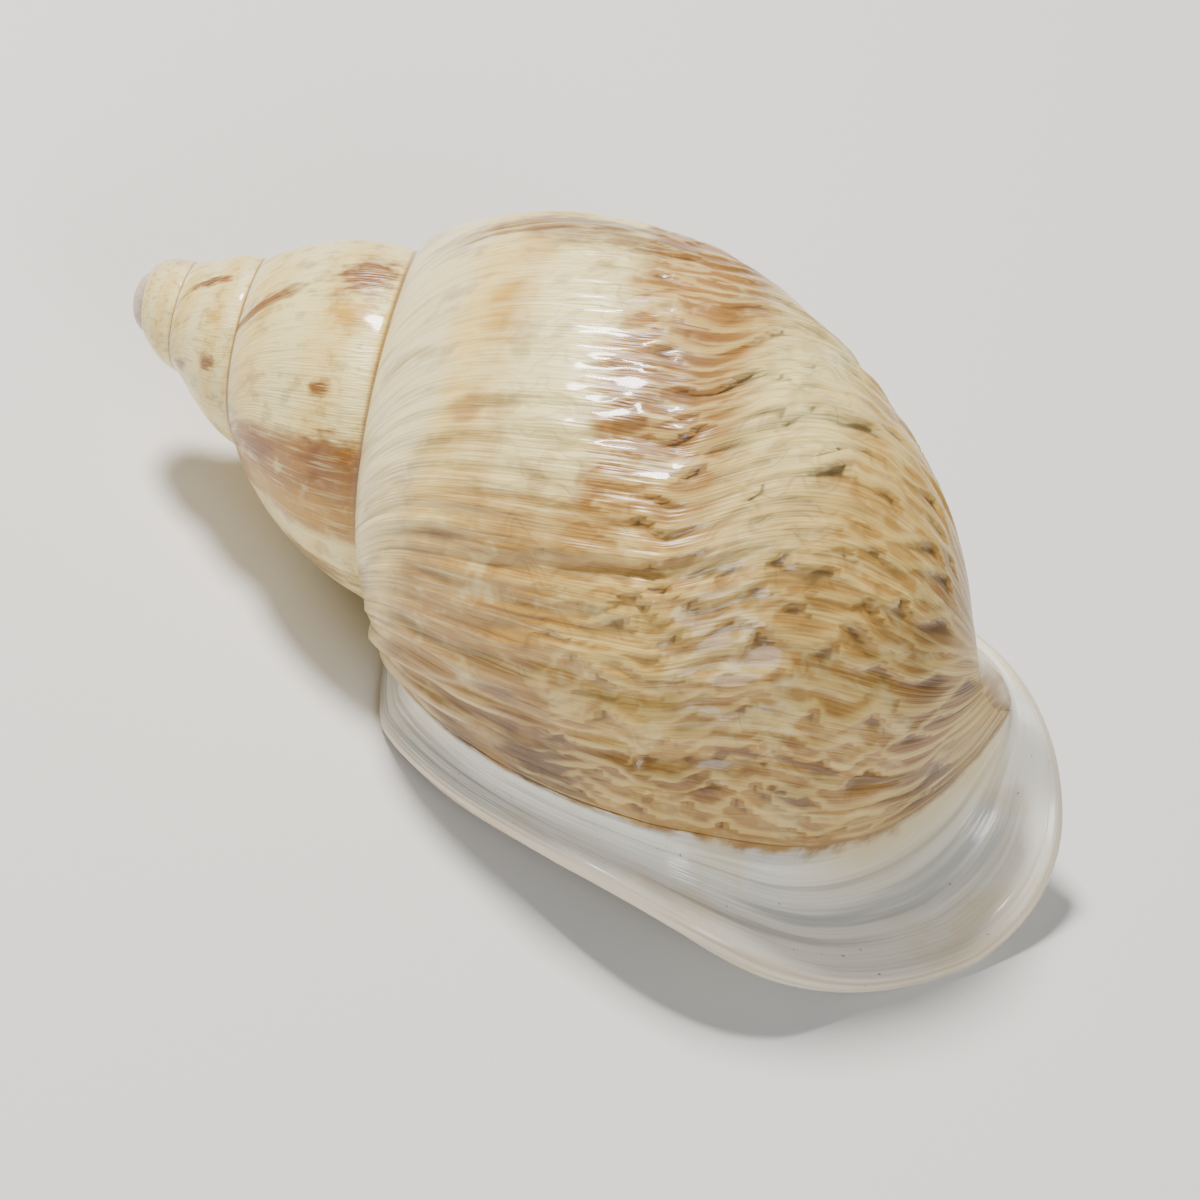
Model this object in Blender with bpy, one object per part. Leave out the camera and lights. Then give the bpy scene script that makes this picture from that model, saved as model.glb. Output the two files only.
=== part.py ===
"""Shell of a large tropical land snail, resting mouth down on its flared lip.

The wall follows one helical suture line. Its outside is a ribbon of growth lines wound from the
apex to the mouth, its inside is the last turn's hollow, and the lip joins the two.
Lengths are in millimetres and turns are counted back from the mouth, until the last step.
"""

import math
import random

import bmesh
import bpy
from mathutils import Matrix, Vector

MM = 0.001

# The suture spiral: its size at the mouth, and how it shrinks towards the apex.
SUTURE_RADIUS = 14.52
SUTURE_DEPTH = 27.41
RADIUS_DECAY = (0.5966, 0.0355, -0.0205)
DEPTH_DECAY = (0.7485, 0.0400, -0.0043)
NUB_TURN = 2.5
APEX_TURN = 3.6
TIP_RADIUS = 0.4

# The outline of a whorl, from its suture to the next one, and below that to the base.
WHORL_FULLNESS = 0.6127
FULLNESS_PER_TURN = 0.4447
NUB_FULLNESS = 0.58
NUB_ROUNDING = 0.95
FLATTEN_FROM = 0.5
FLATTEN_EASE = 0.4
BASE_DEPTH = 71.98
BASE_DECAY = 0.1454
BASE_RISE = 0.50
BASE_RISE_FROM = 0.40
BASE_RISE_SPAN = 0.75
BASE_BULGE = 1.519
BASE_ROUNDING = 0.534
BASE_END = 1.985

# The growth lines: how far they trail behind their own suture point, in degrees.
MOUTH_TURN = -0.028
STEPS_PER_TURN = 45
LAG_STEPS = 5
LAG_SHOULDER = 24.0
LAG_SHOULDER_REACH = 0.12
LAG_SIDE = 16.0
LAG_BASE = 65.0
LAG_BASE_POWER = 2.5

# How many cells the surface has between sutures and down the base.
SIDE_CELLS = 10
SIDE_CROWDING = 0.35
BASE_CELLS = 11

# The ropy folds along the growth lines of the last half turn.
FOLD_CUTS = 2
FOLD_TURNS = 0.50
FOLD_HEIGHT = 0.42
FOLD_LEAST = 0.3
FOLD_SEED = 5
FOLD_END_COLUMNS = 2.0
FOLD_FADE_FROM = 0.3
FOLD_TOP = 0.30
FOLD_BOTTOM = 1.60
LOBE_SHARE = 0.6
LOBES_DOWN = 9.0
LOBE_STEP = 2.1
FOLD_MARGIN = 0.01

# The wall and the inner lip, which crosses the turn before it.
WALL = 1.5
CALLUS = 0.45
CALLUS_REACH = 0.030
CALLUS_EDGE = 4.0
INNER_LIP_TURN = 0.252
INNER_LIP_POWER = 1.3
PILLAR_RADIUS = 4.2
PILLAR_FOOT = (-0.6, -3.4, -71.8)
PILLAR_BOW = (-1.9, -5.4, -62.8)
PILLAR_TAPER = 0.7
PILLAR_LEAN = -0.15
PILLAR_GLAZE_FROM = 0.72
MOUTH_MIDDLE = (9.0, 0.0, -54.0)
MOUTH_FACING = (0.15, -0.98, 0.1)
SPREAD_FROM = 1.45

# The flare of the lip.
LIP_THICKNESS = 1.7
LIP_WIDTH = 3.0
BASE_LIP_WIDTH = 11.6
FOOT_LIP_WIDTH = 3.2
PILLAR_LIP_WIDTH = 1.8
WIDEN_FROM = 0.50
WIDEN_TO = 1.75
WIDEN_POWER = 2.4
NARROW_FROM = 1.78
NARROW_POWER = 2.2
PILLAR_NARROW = 0.20
CORNER_REACH = 0.14
CORNER_LIP_SHARE = 0.6
CORNER_LATE = 0.6
CORNER_FADE = 0.4
LIP_BEND = (70.0, 98.0)
LIP_BEND_RADIUS = (2.2, 5.6)
LIP_LEAST_STRAIGHT = 0.2
LIP_ARC_CELLS = 3
FOOT_REACH = 7.0
FOOT_SMOOTHING = 14

# The hollow.
HOLLOW_CELLS = 7
HOLLOW_TURNS = 0.62
HOLLOW_CORNER = 0.12
HOLLOW_CROWDING = 1.15
HOLLOW_END = (0.86, 0.55, 0.0)
HOLLOW_END_TURNS = 0.018
HOLLOW_INNER_TURN = 0.8

# How the shell lies, and how much of the lip's lowest places is worn flat.
REST_DOWN = (0.6950, -0.7143, 0.0822)
FLAT_DEPTH = 0.20

SURFACE_COLOUR = (0.62, 0.47, 0.33, 1.0)
SURFACE_ROUGHNESS = 0.28

LAG_TURNS = LAG_STEPS / STEPS_PER_TURN
BASE_STEPS = STEPS_PER_TURN - LAG_STEPS
WEBBED = 1e-4


def ease(value: float) -> float:
    """Smooth step from 0 to 1 as value goes from 0 to 1."""
    value = min(max(value, 0.0), 1.0)
    return value * value * (3.0 - 2.0 * value)


def mix(first: float, second: float, share: float) -> float:
    """Value share of the way from first to second."""
    return first + (second - first) * share


def curve_point(start: Vector, first: Vector, second: Vector, end: Vector, share: float) -> Vector:
    """Point share of the way along the curve that two handles bend."""
    rest = 1.0 - share
    near = start * rest**3 + first * (3.0 * rest * rest * share)
    return near + second * (3.0 * rest * share * share) + end * share**3


def decay(turn: float, rates: tuple[float, float, float]) -> float:
    """Logarithm of a length of the suture spiral against its length at the mouth."""
    return -turn * (rates[0] + turn * (rates[1] + turn * rates[2]))


def decay_rate(turn: float, rates: tuple[float, float, float]) -> float:
    """How fast that logarithm falls with each turn."""
    return rates[0] + 2.0 * turn * rates[1] + 3.0 * turn * turn * rates[2]


def spiral_length(turn: float, start: float, rates: tuple[float, float, float]) -> float:
    """Radius or depth of the suture at a turn, closing to nothing at the apex."""
    if turn >= APEX_TURN:
        return 0.0
    if turn <= NUB_TURN:
        return start * math.exp(decay(turn, rates))
    nub_turns = APEX_TURN - NUB_TURN
    power = decay_rate(NUB_TURN, rates) * nub_turns
    rest = (APEX_TURN - turn) / nub_turns
    return start * math.exp(decay(NUB_TURN, rates)) * rest**power


def suture(turn: float) -> tuple[float, float]:
    """Radius and depth of the suture at a turn."""
    radius = spiral_length(turn, SUTURE_RADIUS, RADIUS_DECAY)
    depth = spiral_length(turn, SUTURE_DEPTH, DEPTH_DECAY)
    return radius, depth


def base_depth(turn: float) -> float:
    """Depth at which the base of a whorl meets the pillar."""
    rise = BASE_RISE * ease((turn - BASE_RISE_FROM) / BASE_RISE_SPAN)
    rise += BASE_RISE * max(turn - BASE_RISE_FROM - BASE_RISE_SPAN, 0.0)
    return BASE_DEPTH * math.exp(-BASE_DECAY * turn - rise)


def flattening(turn: float) -> float:
    """Turns over which the sides have grown flatter towards the apex, eased in at its start."""
    past = min(turn, NUB_TURN) - FLATTEN_FROM
    if past > FLATTEN_EASE:
        return past
    return max(past + FLATTEN_EASE, 0.0) ** 2 / (4.0 * FLATTEN_EASE)


def outline(turn: float, down: float) -> tuple[float, float]:
    """Radius and depth of a whorl: down is 0 at its suture, 1 at the next and 2 on the axis."""
    radius, depth = suture(turn)
    next_radius, next_depth = suture(turn - 1.0)
    if down <= 1.0:
        fullness = WHORL_FULLNESS + FULLNESS_PER_TURN * flattening(turn)
        fullness = mix(fullness, NUB_FULLNESS, ease((turn - NUB_TURN) / NUB_ROUNDING))
        bulge = (1.0 - (1.0 - down) ** 2) ** fullness
        return mix(radius, next_radius, bulge), mix(depth, next_depth, down)
    low = min(down - 1.0, 1.0)
    round_in = max(1.0 - low**BASE_BULGE, 0.0) ** BASE_ROUNDING
    return next_radius * round_in, mix(next_depth, base_depth(turn), low)


def surface(turn: float, down: float) -> Vector:
    """Point of the outside, with the apex at the origin and pointing up."""
    radius, depth = outline(turn, down)
    if radius < TIP_RADIUS:
        return Vector((0.0, 0.0, 0.0))
    angle = math.tau * turn
    return Vector((radius * math.cos(angle), radius * math.sin(angle), -depth))


def outward(turn: float, down: float) -> Vector:
    """Direction away from the wall at a point of the outside."""
    small = 1e-4
    low = min(max(down, small), BASE_END)
    along = surface(turn - small, low) - surface(turn + small, low)
    across = surface(turn, low + small) - surface(turn, low - small)
    return along.cross(across).normalized()


def lag(down: float) -> float:
    """Turns by which a growth line trails its own suture point."""
    if down <= 1.0:
        shoulder = 1.0 - math.exp(-down / LAG_SHOULDER_REACH)
        shoulder /= 1.0 - math.exp(-1.0 / LAG_SHOULDER_REACH)
        return (LAG_SHOULDER * shoulder + LAG_SIDE * down) / 360.0
    return LAG_TURNS - LAG_BASE / 360.0 * (down - 1.0) ** LAG_BASE_POWER


def lip_turn(down: float) -> float:
    """Turn at which the outer lip stands."""
    return MOUTH_TURN + lag(down)


def inner_lip_turn(down: float) -> float:
    """Turn at which the inner lip crosses the base of the whorl before it."""
    share = (down - 1.0) / (BASE_END - 1.0)
    return MOUTH_TURN + 1.0 - INNER_LIP_TURN * share**INNER_LIP_POWER


def side_down(row: int) -> float:
    """Place of a row of the side, closer together just under the suture."""
    share = row / SIDE_CELLS
    return mix(share, share * share, SIDE_CROWDING)


def base_down(row: int) -> float:
    """Place of a row of the base."""
    return 1.0 + (BASE_END - 1.0) * math.sin(0.5 * math.pi * row / BASE_CELLS)


def base_turn(column: float, down: float) -> float:
    """Turn of a column of the base, which fans out from the outer to the inner lip."""
    return mix(lip_turn(down), inner_lip_turn(down), column / BASE_STEPS)


def growth_turn(column: float, down: float) -> float:
    """Turn of a growth line, counted in columns back from the mouth, at a place on it."""
    if down <= 1.0:
        return MOUTH_TURN + column / STEPS_PER_TURN + lag(down)
    return base_turn(column, down)


def fold_height(column: float, down: float, heights: list[float]) -> float:
    """How far the outside stands up or sinks in at a place, in ropy folds along the growth."""
    line = round(column * (FOLD_CUTS + 1))
    if line >= len(heights):
        return 0.0
    lobes = 1.0 + LOBE_SHARE * math.sin(LOBES_DOWN * down + LOBE_STEP * line)
    faded = ease((column / STEPS_PER_TURN - FOLD_FADE_FROM) / (FOLD_TURNS - FOLD_FADE_FROM))
    ends = ease(column / FOLD_END_COLUMNS) * (1.0 - faded)
    sides = ease(down / FOLD_TOP) * (1.0 - ease((down - FOLD_BOTTOM) / FOLD_TOP))
    return heights[line] * lobes * ends * sides


def add_sheet(shell: bmesh.types.BMesh, columns: int, rows: int, place) -> dict:
    """Adds a grid of cells, with each corner where place(column, row) puts it, and maps the rows."""
    made = bmesh.ops.create_grid(shell, x_segments=columns, y_segments=rows, size=0.5)
    row_of = {}
    for vert in made["verts"]:
        column = round((vert.co.x + 0.5) * columns)
        row = round((vert.co.y + 0.5) * rows)
        vert.co = place(column, row)
        row_of[vert] = row
    return row_of


def add_growth_sheet(shell: bmesh.types.BMesh, columns: int, rows: int, down_of) -> None:
    """Adds a sheet of growth lines and notes on each corner its line and its place down it."""
    line = shell.verts.layers.float["line"]
    place_down = shell.verts.layers.float["down"]
    made = bmesh.ops.create_grid(shell, x_segments=columns, y_segments=rows, size=0.5)
    for vert in made["verts"]:
        column = round((vert.co.x + 0.5) * columns)
        down = down_of(round((vert.co.y + 0.5) * rows))
        vert[line] = column
        vert[place_down] = down
        vert.co = surface(growth_turn(column, down), down)


def add_folds(shell: bmesh.types.BMesh) -> None:
    """Splits the last half turn into finer lines and raises and sinks them."""
    line = shell.verts.layers.float["line"]
    place_down = shell.verts.layers.float["down"]
    last = FOLD_TURNS * STEPS_PER_TURN + 0.5
    split = []
    for edge in shell.edges:
        first, second = edge.verts
        level = abs(first[place_down] - second[place_down]) < WEBBED
        inside = FOLD_MARGIN < first[place_down] < BASE_END - FOLD_MARGIN
        if level and inside and max(first[line], second[line]) < last:
            split.append(edge)
    bmesh.ops.subdivide_edges(shell, edges=split, cuts=FOLD_CUTS)
    rough = random.Random(FOLD_SEED)
    lines = int(last * (FOLD_CUTS + 1))
    heights = [FOLD_HEIGHT * rough.uniform(FOLD_LEAST, 1.0) * (-1.0) ** i for i in range(lines)]
    for vert in shell.verts:
        column = vert[line]
        down = vert[place_down]
        if column < last and FOLD_MARGIN < down < BASE_END - FOLD_MARGIN:
            turn = growth_turn(column, down)
            height = fold_height(column, down, heights)
            vert.co = surface(turn, down) + outward(turn, down) * height


class LipColumn:
    """One line across the lip, from the outside round the rim and into the hollow."""

    def __init__(self, down: float, pillar: float | None, inner: bool) -> None:
        """Takes its place down the whorl, its share up the pillar, and which lip it crosses."""
        self.down = down
        self.pillar = pillar
        self.inner = inner
        self.turn = inner_lip_turn(down) if inner else lip_turn(down)
        if pillar is not None:
            self.turn = base_turn(pillar * BASE_STEPS, BASE_END)

    def edge(self) -> Vector:
        """Point of the outside where the column starts."""
        return surface(self.turn, self.down)

    def neck(self) -> Vector:
        """Point from which the lip bends outwards."""
        if self.pillar is None:
            return self.edge()
        start = surface(lip_turn(BASE_END), BASE_END)
        end = surface(inner_lip_turn(BASE_END), BASE_END)
        return curve_point(start, Vector(PILLAR_FOOT), Vector(PILLAR_BOW), end, self.pillar)


def loop_columns() -> list[LipColumn]:
    """Columns round the mouth: the outer lip, the pillar and the inner lip."""
    columns = [LipColumn(side_down(row), None, False) for row in range(SIDE_CELLS + 1)]
    columns += [LipColumn(base_down(row), None, False) for row in range(1, BASE_CELLS + 1)]
    for step in range(1, BASE_STEPS):
        columns.append(LipColumn(BASE_END, step / BASE_STEPS, False))
    columns += [LipColumn(base_down(row), None, True) for row in range(BASE_CELLS, 0, -1)]
    return columns


def neck_frame(columns: list[LipColumn], index: int) -> tuple[Vector, Vector, Vector]:
    """The neck point, the way out of the mouth there, and the way the lip flares."""
    column = columns[index]
    before = columns[index - 1].neck()
    after = columns[(index + 1) % len(columns)].neck()
    neck = column.neck()
    along = (after - before).normalized()
    spread = neck - Vector(MOUTH_MIDDLE)
    spread.y = PILLAR_LEAN * spread.length
    spread.normalize()
    facing = Vector(MOUTH_FACING)
    facing = (facing - spread * facing.dot(spread)).normalized()
    if column.pillar is not None:
        return neck, facing, spread
    flare = outward(column.turn, column.down)
    flare = (flare - along * flare.dot(along)).normalized()
    out = flare.cross(along)
    if out.y > 0.0:
        out = -out
    share = ease((column.down - SPREAD_FROM) / (BASE_END - SPREAD_FROM))
    flare = flare.slerp(spread, share)
    out = out.slerp(facing, share)
    out = (out - flare * out.dot(flare)).normalized()
    return neck, out, flare


def lip_width(column: LipColumn) -> float:
    """How far the lip stands out from its neck."""
    widen = min(max((column.down - WIDEN_FROM) / (WIDEN_TO - WIDEN_FROM), 0.0), 1.0)
    wide = mix(LIP_WIDTH, BASE_LIP_WIDTH, widen**WIDEN_POWER)
    narrow = max((column.down - NARROW_FROM) / (BASE_END - NARROW_FROM), 0.0)
    wide = mix(wide, FOOT_LIP_WIDTH, narrow**NARROW_POWER)
    if column.pillar is None:
        return wide
    return mix(wide, PILLAR_LIP_WIDTH, ease(column.pillar / PILLAR_NARROW))


def lip_profile(width: float, thickness: float) -> list[tuple[float, float]]:
    """Section of the lip: (out of the mouth, outwards) from the neck round to the inside."""
    share = (width - LIP_WIDTH) / (BASE_LIP_WIDTH - LIP_WIDTH)
    bend = math.radians(mix(*LIP_BEND, share))
    radius = mix(*LIP_BEND_RADIUS, share)
    half = 0.5 * thickness
    tip = half * (math.sin(bend) - math.cos(bend))
    straight = (width - radius * (1.0 - math.cos(bend)) - tip) / math.sin(bend)
    straight = max(straight, LIP_LEAST_STRAIGHT)
    forward = Vector((math.cos(bend), math.sin(bend)))
    inward = Vector((math.sin(bend), -math.cos(bend)))
    points = []
    for cell in range(1, LIP_ARC_CELLS + 1):
        angle = bend * cell / LIP_ARC_CELLS
        points.append(Vector((radius * math.sin(angle), radius * (1.0 - math.cos(angle)))))
    outer_end = points[-1] + forward * straight
    middle = outer_end + inward * half
    for angle in (0.0, 45.0, 90.0, 135.0, 180.0):
        turn = math.radians(angle)
        points.append(middle - inward * half * math.cos(turn) + forward * half * math.sin(turn))
    for cell in range(LIP_ARC_CELLS, -1, -1):
        angle = bend * cell / LIP_ARC_CELLS
        outer = radius + thickness
        points.append(Vector((outer * math.sin(angle), radius - outer * math.cos(angle))))
    return points


def callus_point(turn: float, down: float, share: float) -> Vector:
    """Point of the thin glaze laid over the whorl before, share of the way into the mouth."""
    inside = turn + CALLUS_REACH * share
    lift = CALLUS * ease(share * CALLUS_EDGE)
    lower = down + HOLLOW_CORNER * share * (1.0 - (down - 1.0) / (BASE_END - 1.0))
    return surface(inside, lower) + outward(inside, lower) * lift


def lip_point(columns: list[LipColumn], index: int, row: int, rows: int) -> Vector:
    """Corner of the lip. Row 0 is the edge of the outside and the last row the inside's."""
    column = columns[index]
    if row == 0:
        return column.edge()
    share = row / rows
    late = max((share - CORNER_LATE) / (1.0 - CORNER_LATE), 0.0)
    if column.inner:
        late = mix(late, share, ease((column.down - 1.0) / CORNER_FADE))
        return callus_point(column.turn, column.down, late)
    corner = callus_point(MOUTH_TURN + 1.0, 1.0, late)
    neck, out, flare = neck_frame(columns, max(index, 1))
    section = lip_profile(lip_width(column), LIP_THICKNESS)[row - 1]
    stand = out * section.x + flare * section.y
    point = neck + stand
    if column.pillar is not None:
        glaze = callus_point(inner_lip_turn(BASE_END), BASE_END, share) + neck
        glaze -= surface(inner_lip_turn(BASE_END), BASE_END)
        share = (column.pillar - PILLAR_GLAZE_FROM) / (1.0 - PILLAR_GLAZE_FROM)
        return point.lerp(glaze, ease(share))
    corner += stand * CORNER_LIP_SHARE * (1.0 - late)
    return corner.lerp(point, ease(column.down / CORNER_REACH))


def down_at_radius(turn: float, radius: float) -> float:
    """Place on the base where it has come in to a radius."""
    share = min(radius / suture(turn - 1.0)[0], 1.0)
    return 1.0 + (1.0 - share ** (1.0 / BASE_ROUNDING)) ** (1.0 / BASE_BULGE)


def pillar_radius(turns: float) -> float:
    """Radius of the pillar, some turns in from the mouth."""
    return PILLAR_RADIUS * math.exp(-PILLAR_TAPER * turns)


def hollow_outer(down: float, turns: float) -> Vector:
    """Corner of the hollow on the outer wall."""
    low = down_at_radius(MOUTH_TURN + turns, pillar_radius(turns))
    outer = mix(HOLLOW_CORNER, low, down / BASE_END)
    return wall_inside(lip_turn(outer) + turns, outer)


def hollow_inner(down: float, turns: float) -> Vector:
    """Corner of the hollow on the whorl before."""
    low = down_at_radius(MOUTH_TURN + HOLLOW_INNER_TURN + turns, pillar_radius(turns))
    share = (down - 1.0) / (BASE_END - 1.0)
    inner = mix(1.0 + HOLLOW_CORNER, low, share)
    return callus_over(inner_lip_turn(down) + CALLUS_REACH + turns, inner)


def hollow_pillar(share: float, turns: float) -> Vector:
    """Corner of the hollow on the pillar, share of the way from its foot."""
    foot = hollow_outer(BASE_END, turns)
    head = hollow_inner(BASE_END, turns)
    start = math.atan2(foot.y, foot.x)
    end = math.atan2(head.y, head.x)
    if end > start:
        end -= math.tau
    angle = mix(start, end, share)
    radius = mix(foot.xy.length, head.xy.length, share)
    return Vector((radius * math.cos(angle), radius * math.sin(angle), mix(foot.z, head.z, share)))


def hollow_point(columns: list[LipColumn], index: int, turns: float) -> Vector:
    """Corner of the hollow, some turns in from the mouth."""
    column = columns[index]
    if column.pillar is not None:
        return hollow_pillar(column.pillar, turns)
    if column.inner:
        return hollow_inner(column.down, turns)
    point = hollow_outer(column.down, turns)
    if index == 0:
        return point.lerp(hollow_inner(1.0, turns), 0.5)
    return point


def wall_inside(turn: float, down: float) -> Vector:
    """Inner face of the outer wall."""
    return surface(turn, down) - outward(turn, down) * WALL


def callus_over(turn: float, down: float) -> Vector:
    """Face of the glaze over the whorl before."""
    return surface(turn, down) + outward(turn, down) * CALLUS


def lip_rows() -> int:
    """How many rows of cells the lip has."""
    return len(lip_profile(LIP_WIDTH, LIP_THICKNESS))


def hollow_rings(columns: list[LipColumn]) -> list[list[Vector]]:
    """Rings of corners from the first one inside the lip to the hollow's rounded end."""
    rings = []
    for row in range(1, HOLLOW_CELLS + 1):
        turns = HOLLOW_TURNS * (row / HOLLOW_CELLS) ** HOLLOW_CROWDING
        rings.append([hollow_point(columns, i, turns) for i in range(len(columns))])
    for step, size in enumerate(HOLLOW_END, start=1):
        turns = HOLLOW_TURNS + HOLLOW_END_TURNS * step
        ring = [hollow_point(columns, i, turns) for i in range(len(columns))]
        middle = sum(ring, Vector()) / len(ring)
        rings.append([middle.lerp(point, size) for point in ring])
    return rings


def add_mouth(shell: bmesh.types.BMesh) -> None:
    """Adds the lip and the hollow as one sheet wound round the mouth, rounded at its foot."""
    columns = loop_columns()
    lip = lip_rows()
    rings = hollow_rings(columns)

    def place(column: int, row: int) -> Vector:
        index = column % len(columns)
        if row <= lip:
            return lip_point(columns, index, row, lip)
        return rings[row - lip - 1][index]

    row_of = add_sheet(shell, len(columns), lip + len(rings), place)
    foot = surface(lip_turn(BASE_END), BASE_END)
    for _ in range(FOOT_SMOOTHING):
        near = []
        for vert, row in row_of.items():
            if 0 < row <= lip and (vert.co - foot).length < FOOT_REACH:
                near.append(vert)
        bmesh.ops.smooth_vert(
            shell, verts=near, factor=0.5, use_axis_x=True, use_axis_y=True, use_axis_z=True
        )


def build_shell() -> bmesh.types.BMesh:
    """Builds the closed shell and lays it down."""
    shell = bmesh.new()
    shell.verts.layers.float.new("line")
    shell.verts.layers.float.new("down")
    columns = math.ceil((APEX_TURN + 1.0 - MOUTH_TURN) * STEPS_PER_TURN)
    add_growth_sheet(shell, columns, SIDE_CELLS, side_down)
    add_growth_sheet(shell, BASE_STEPS, BASE_CELLS, base_down)
    bmesh.ops.remove_doubles(shell, verts=shell.verts, dist=WEBBED)
    add_folds(shell)
    add_mouth(shell)
    bmesh.ops.remove_doubles(shell, verts=shell.verts, dist=WEBBED)
    bmesh.ops.dissolve_degenerate(shell, edges=shell.edges, dist=WEBBED)
    lay_down(shell)
    bmesh.ops.recalc_face_normals(shell, faces=shell.faces)
    return shell


def rest_matrix() -> Matrix:
    """Turn that lays the shell on its lip and its bulge, with the apex towards -X."""
    up = -Vector(REST_DOWN).normalized()
    apex = Vector((0.0, 0.0, 1.0))
    back = (apex - up * apex.dot(up)).normalized()
    side = up.cross(-back)
    return Matrix((-back, side, up)).to_4x4()


def lay_down(shell: bmesh.types.BMesh) -> None:
    """Turns the shell as it lies and cuts its lowest places to one flat plane."""
    bmesh.ops.transform(shell, matrix=rest_matrix(), verts=shell.verts)
    lowest = min(vert.co.z for vert in shell.verts)
    middle_x = 0.5 * sum(limit(vert.co.x for vert in shell.verts) for limit in (min, max))
    middle_y = 0.5 * sum(limit(vert.co.y for vert in shell.verts) for limit in (min, max))
    shift = Vector((-middle_x, -middle_y, -lowest - FLAT_DEPTH))
    bmesh.ops.translate(shell, vec=shift, verts=shell.verts)
    everything = list(shell.verts) + list(shell.edges) + list(shell.faces)
    bmesh.ops.bisect_plane(
        shell, geom=everything, plane_co=(0.0, 0.0, 0.0), plane_no=(0.0, 0.0, 1.0), clear_inner=True
    )
    open_edges = [edge for edge in shell.edges if edge.is_boundary]
    bmesh.ops.holes_fill(shell, edges=open_edges)


def shell_material() -> bpy.types.Material:
    """Glossy tan shell."""
    material = bpy.data.materials.new("shell_surface")
    material.use_nodes = True
    shader = material.node_tree.nodes["Principled BSDF"]
    shader.inputs["Base Color"].default_value = SURFACE_COLOUR
    shader.inputs["Roughness"].default_value = SURFACE_ROUGHNESS
    shader.inputs["Metallic"].default_value = 0.0
    return material


def add_object(shell: bmesh.types.BMesh) -> bpy.types.Object:
    """Puts the shell in the scene as one smooth object, in metres."""
    bmesh.ops.scale(shell, vec=(MM, MM, MM), verts=shell.verts)
    mesh = bpy.data.meshes.new("shell")
    shell.to_mesh(mesh)
    shell.free()
    mesh.materials.append(shell_material())
    mesh.shade_smooth()
    found = bpy.data.objects.new("shell", mesh)
    bpy.context.scene.collection.objects.link(found)
    return found


def main() -> None:
    """Clears the scene and builds the shell."""
    for old in list(bpy.data.objects):
        bpy.data.objects.remove(old)
    add_object(build_shell())


if __name__ == "__main__":
    main()
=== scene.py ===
"""Looks of a large tropical land snail shell, resting mouth down on its flared lip.

The shell is one piece. Its outside is wound from growth lines along one helical suture, the lip is
bent out round the mouth, and a hollow runs back inside the last whorl. Shapes are worked out in
millimetres with the apex at the origin and pointing up, and turns are counted back from the mouth.
The last step lays the shell down in the part's own frame.
"""

import logging
import math
from dataclasses import dataclass, field

import bmesh
import bpy
from mathutils import Euler, Matrix, Vector, noise


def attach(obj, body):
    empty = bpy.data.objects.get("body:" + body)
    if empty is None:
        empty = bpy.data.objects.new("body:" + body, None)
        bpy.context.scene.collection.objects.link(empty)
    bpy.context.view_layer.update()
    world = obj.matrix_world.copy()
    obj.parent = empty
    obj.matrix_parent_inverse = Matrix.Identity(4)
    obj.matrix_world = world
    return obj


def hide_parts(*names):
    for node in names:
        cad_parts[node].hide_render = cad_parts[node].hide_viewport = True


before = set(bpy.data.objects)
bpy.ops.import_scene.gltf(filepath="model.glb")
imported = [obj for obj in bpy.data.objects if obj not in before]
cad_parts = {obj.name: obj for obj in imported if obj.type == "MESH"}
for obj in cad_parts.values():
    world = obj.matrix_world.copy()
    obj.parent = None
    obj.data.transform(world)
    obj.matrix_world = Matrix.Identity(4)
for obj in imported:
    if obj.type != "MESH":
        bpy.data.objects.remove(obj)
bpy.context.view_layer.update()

LOG = logging.getLogger("shell")
MM = 0.001
SMALL = 1e-4


def ease(value: float) -> float:
    """Returns a smooth step from 0 to 1 as value goes from 0 to 1."""
    value = min(max(value, 0.0), 1.0)
    return value * value * (3.0 - 2.0 * value)


def mix(first: float, second: float, share: float) -> float:
    """Returns the value share of the way from first to second."""
    return first + (second - first) * share


def hump(value: float, low: float, high: float, soft: float) -> float:
    """Returns 1 between low and high and 0 outside, over a soft edge on each side."""
    return ease((value - low) / soft + 0.5) * (1.0 - ease((value - high) / soft + 0.5))


def curve_point(start: Vector, first: Vector, second: Vector, end: Vector, share: float) -> Vector:
    """Finds a point on the curve that two handles bend.

    Args:
        start: Where the curve starts.
        first: Handle of the start.
        second: Handle of the end.
        end: Where the curve ends.
        share: How far along the curve, from 0 to 1.

    Returns:
        The point.
    """
    rest = 1.0 - share
    near = start * rest**3 + first * (3.0 * rest * rest * share)
    return near + second * (3.0 * rest * share * share) + end * share**3


@dataclass(frozen=True)
class Decay:
    """How a length of the suture spiral shrinks towards the apex."""

    start: float
    rates: tuple[float, float, float]

    def logarithm(self, turn: float) -> float:
        """Returns the logarithm of the length against its length at the mouth."""
        return -turn * (self.rates[0] + turn * (self.rates[1] + turn * self.rates[2]))

    def fall(self, turn: float) -> float:
        """Returns how fast that logarithm falls with each turn."""
        return self.rates[0] + 2.0 * turn * self.rates[1] + 3.0 * turn * turn * self.rates[2]


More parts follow.
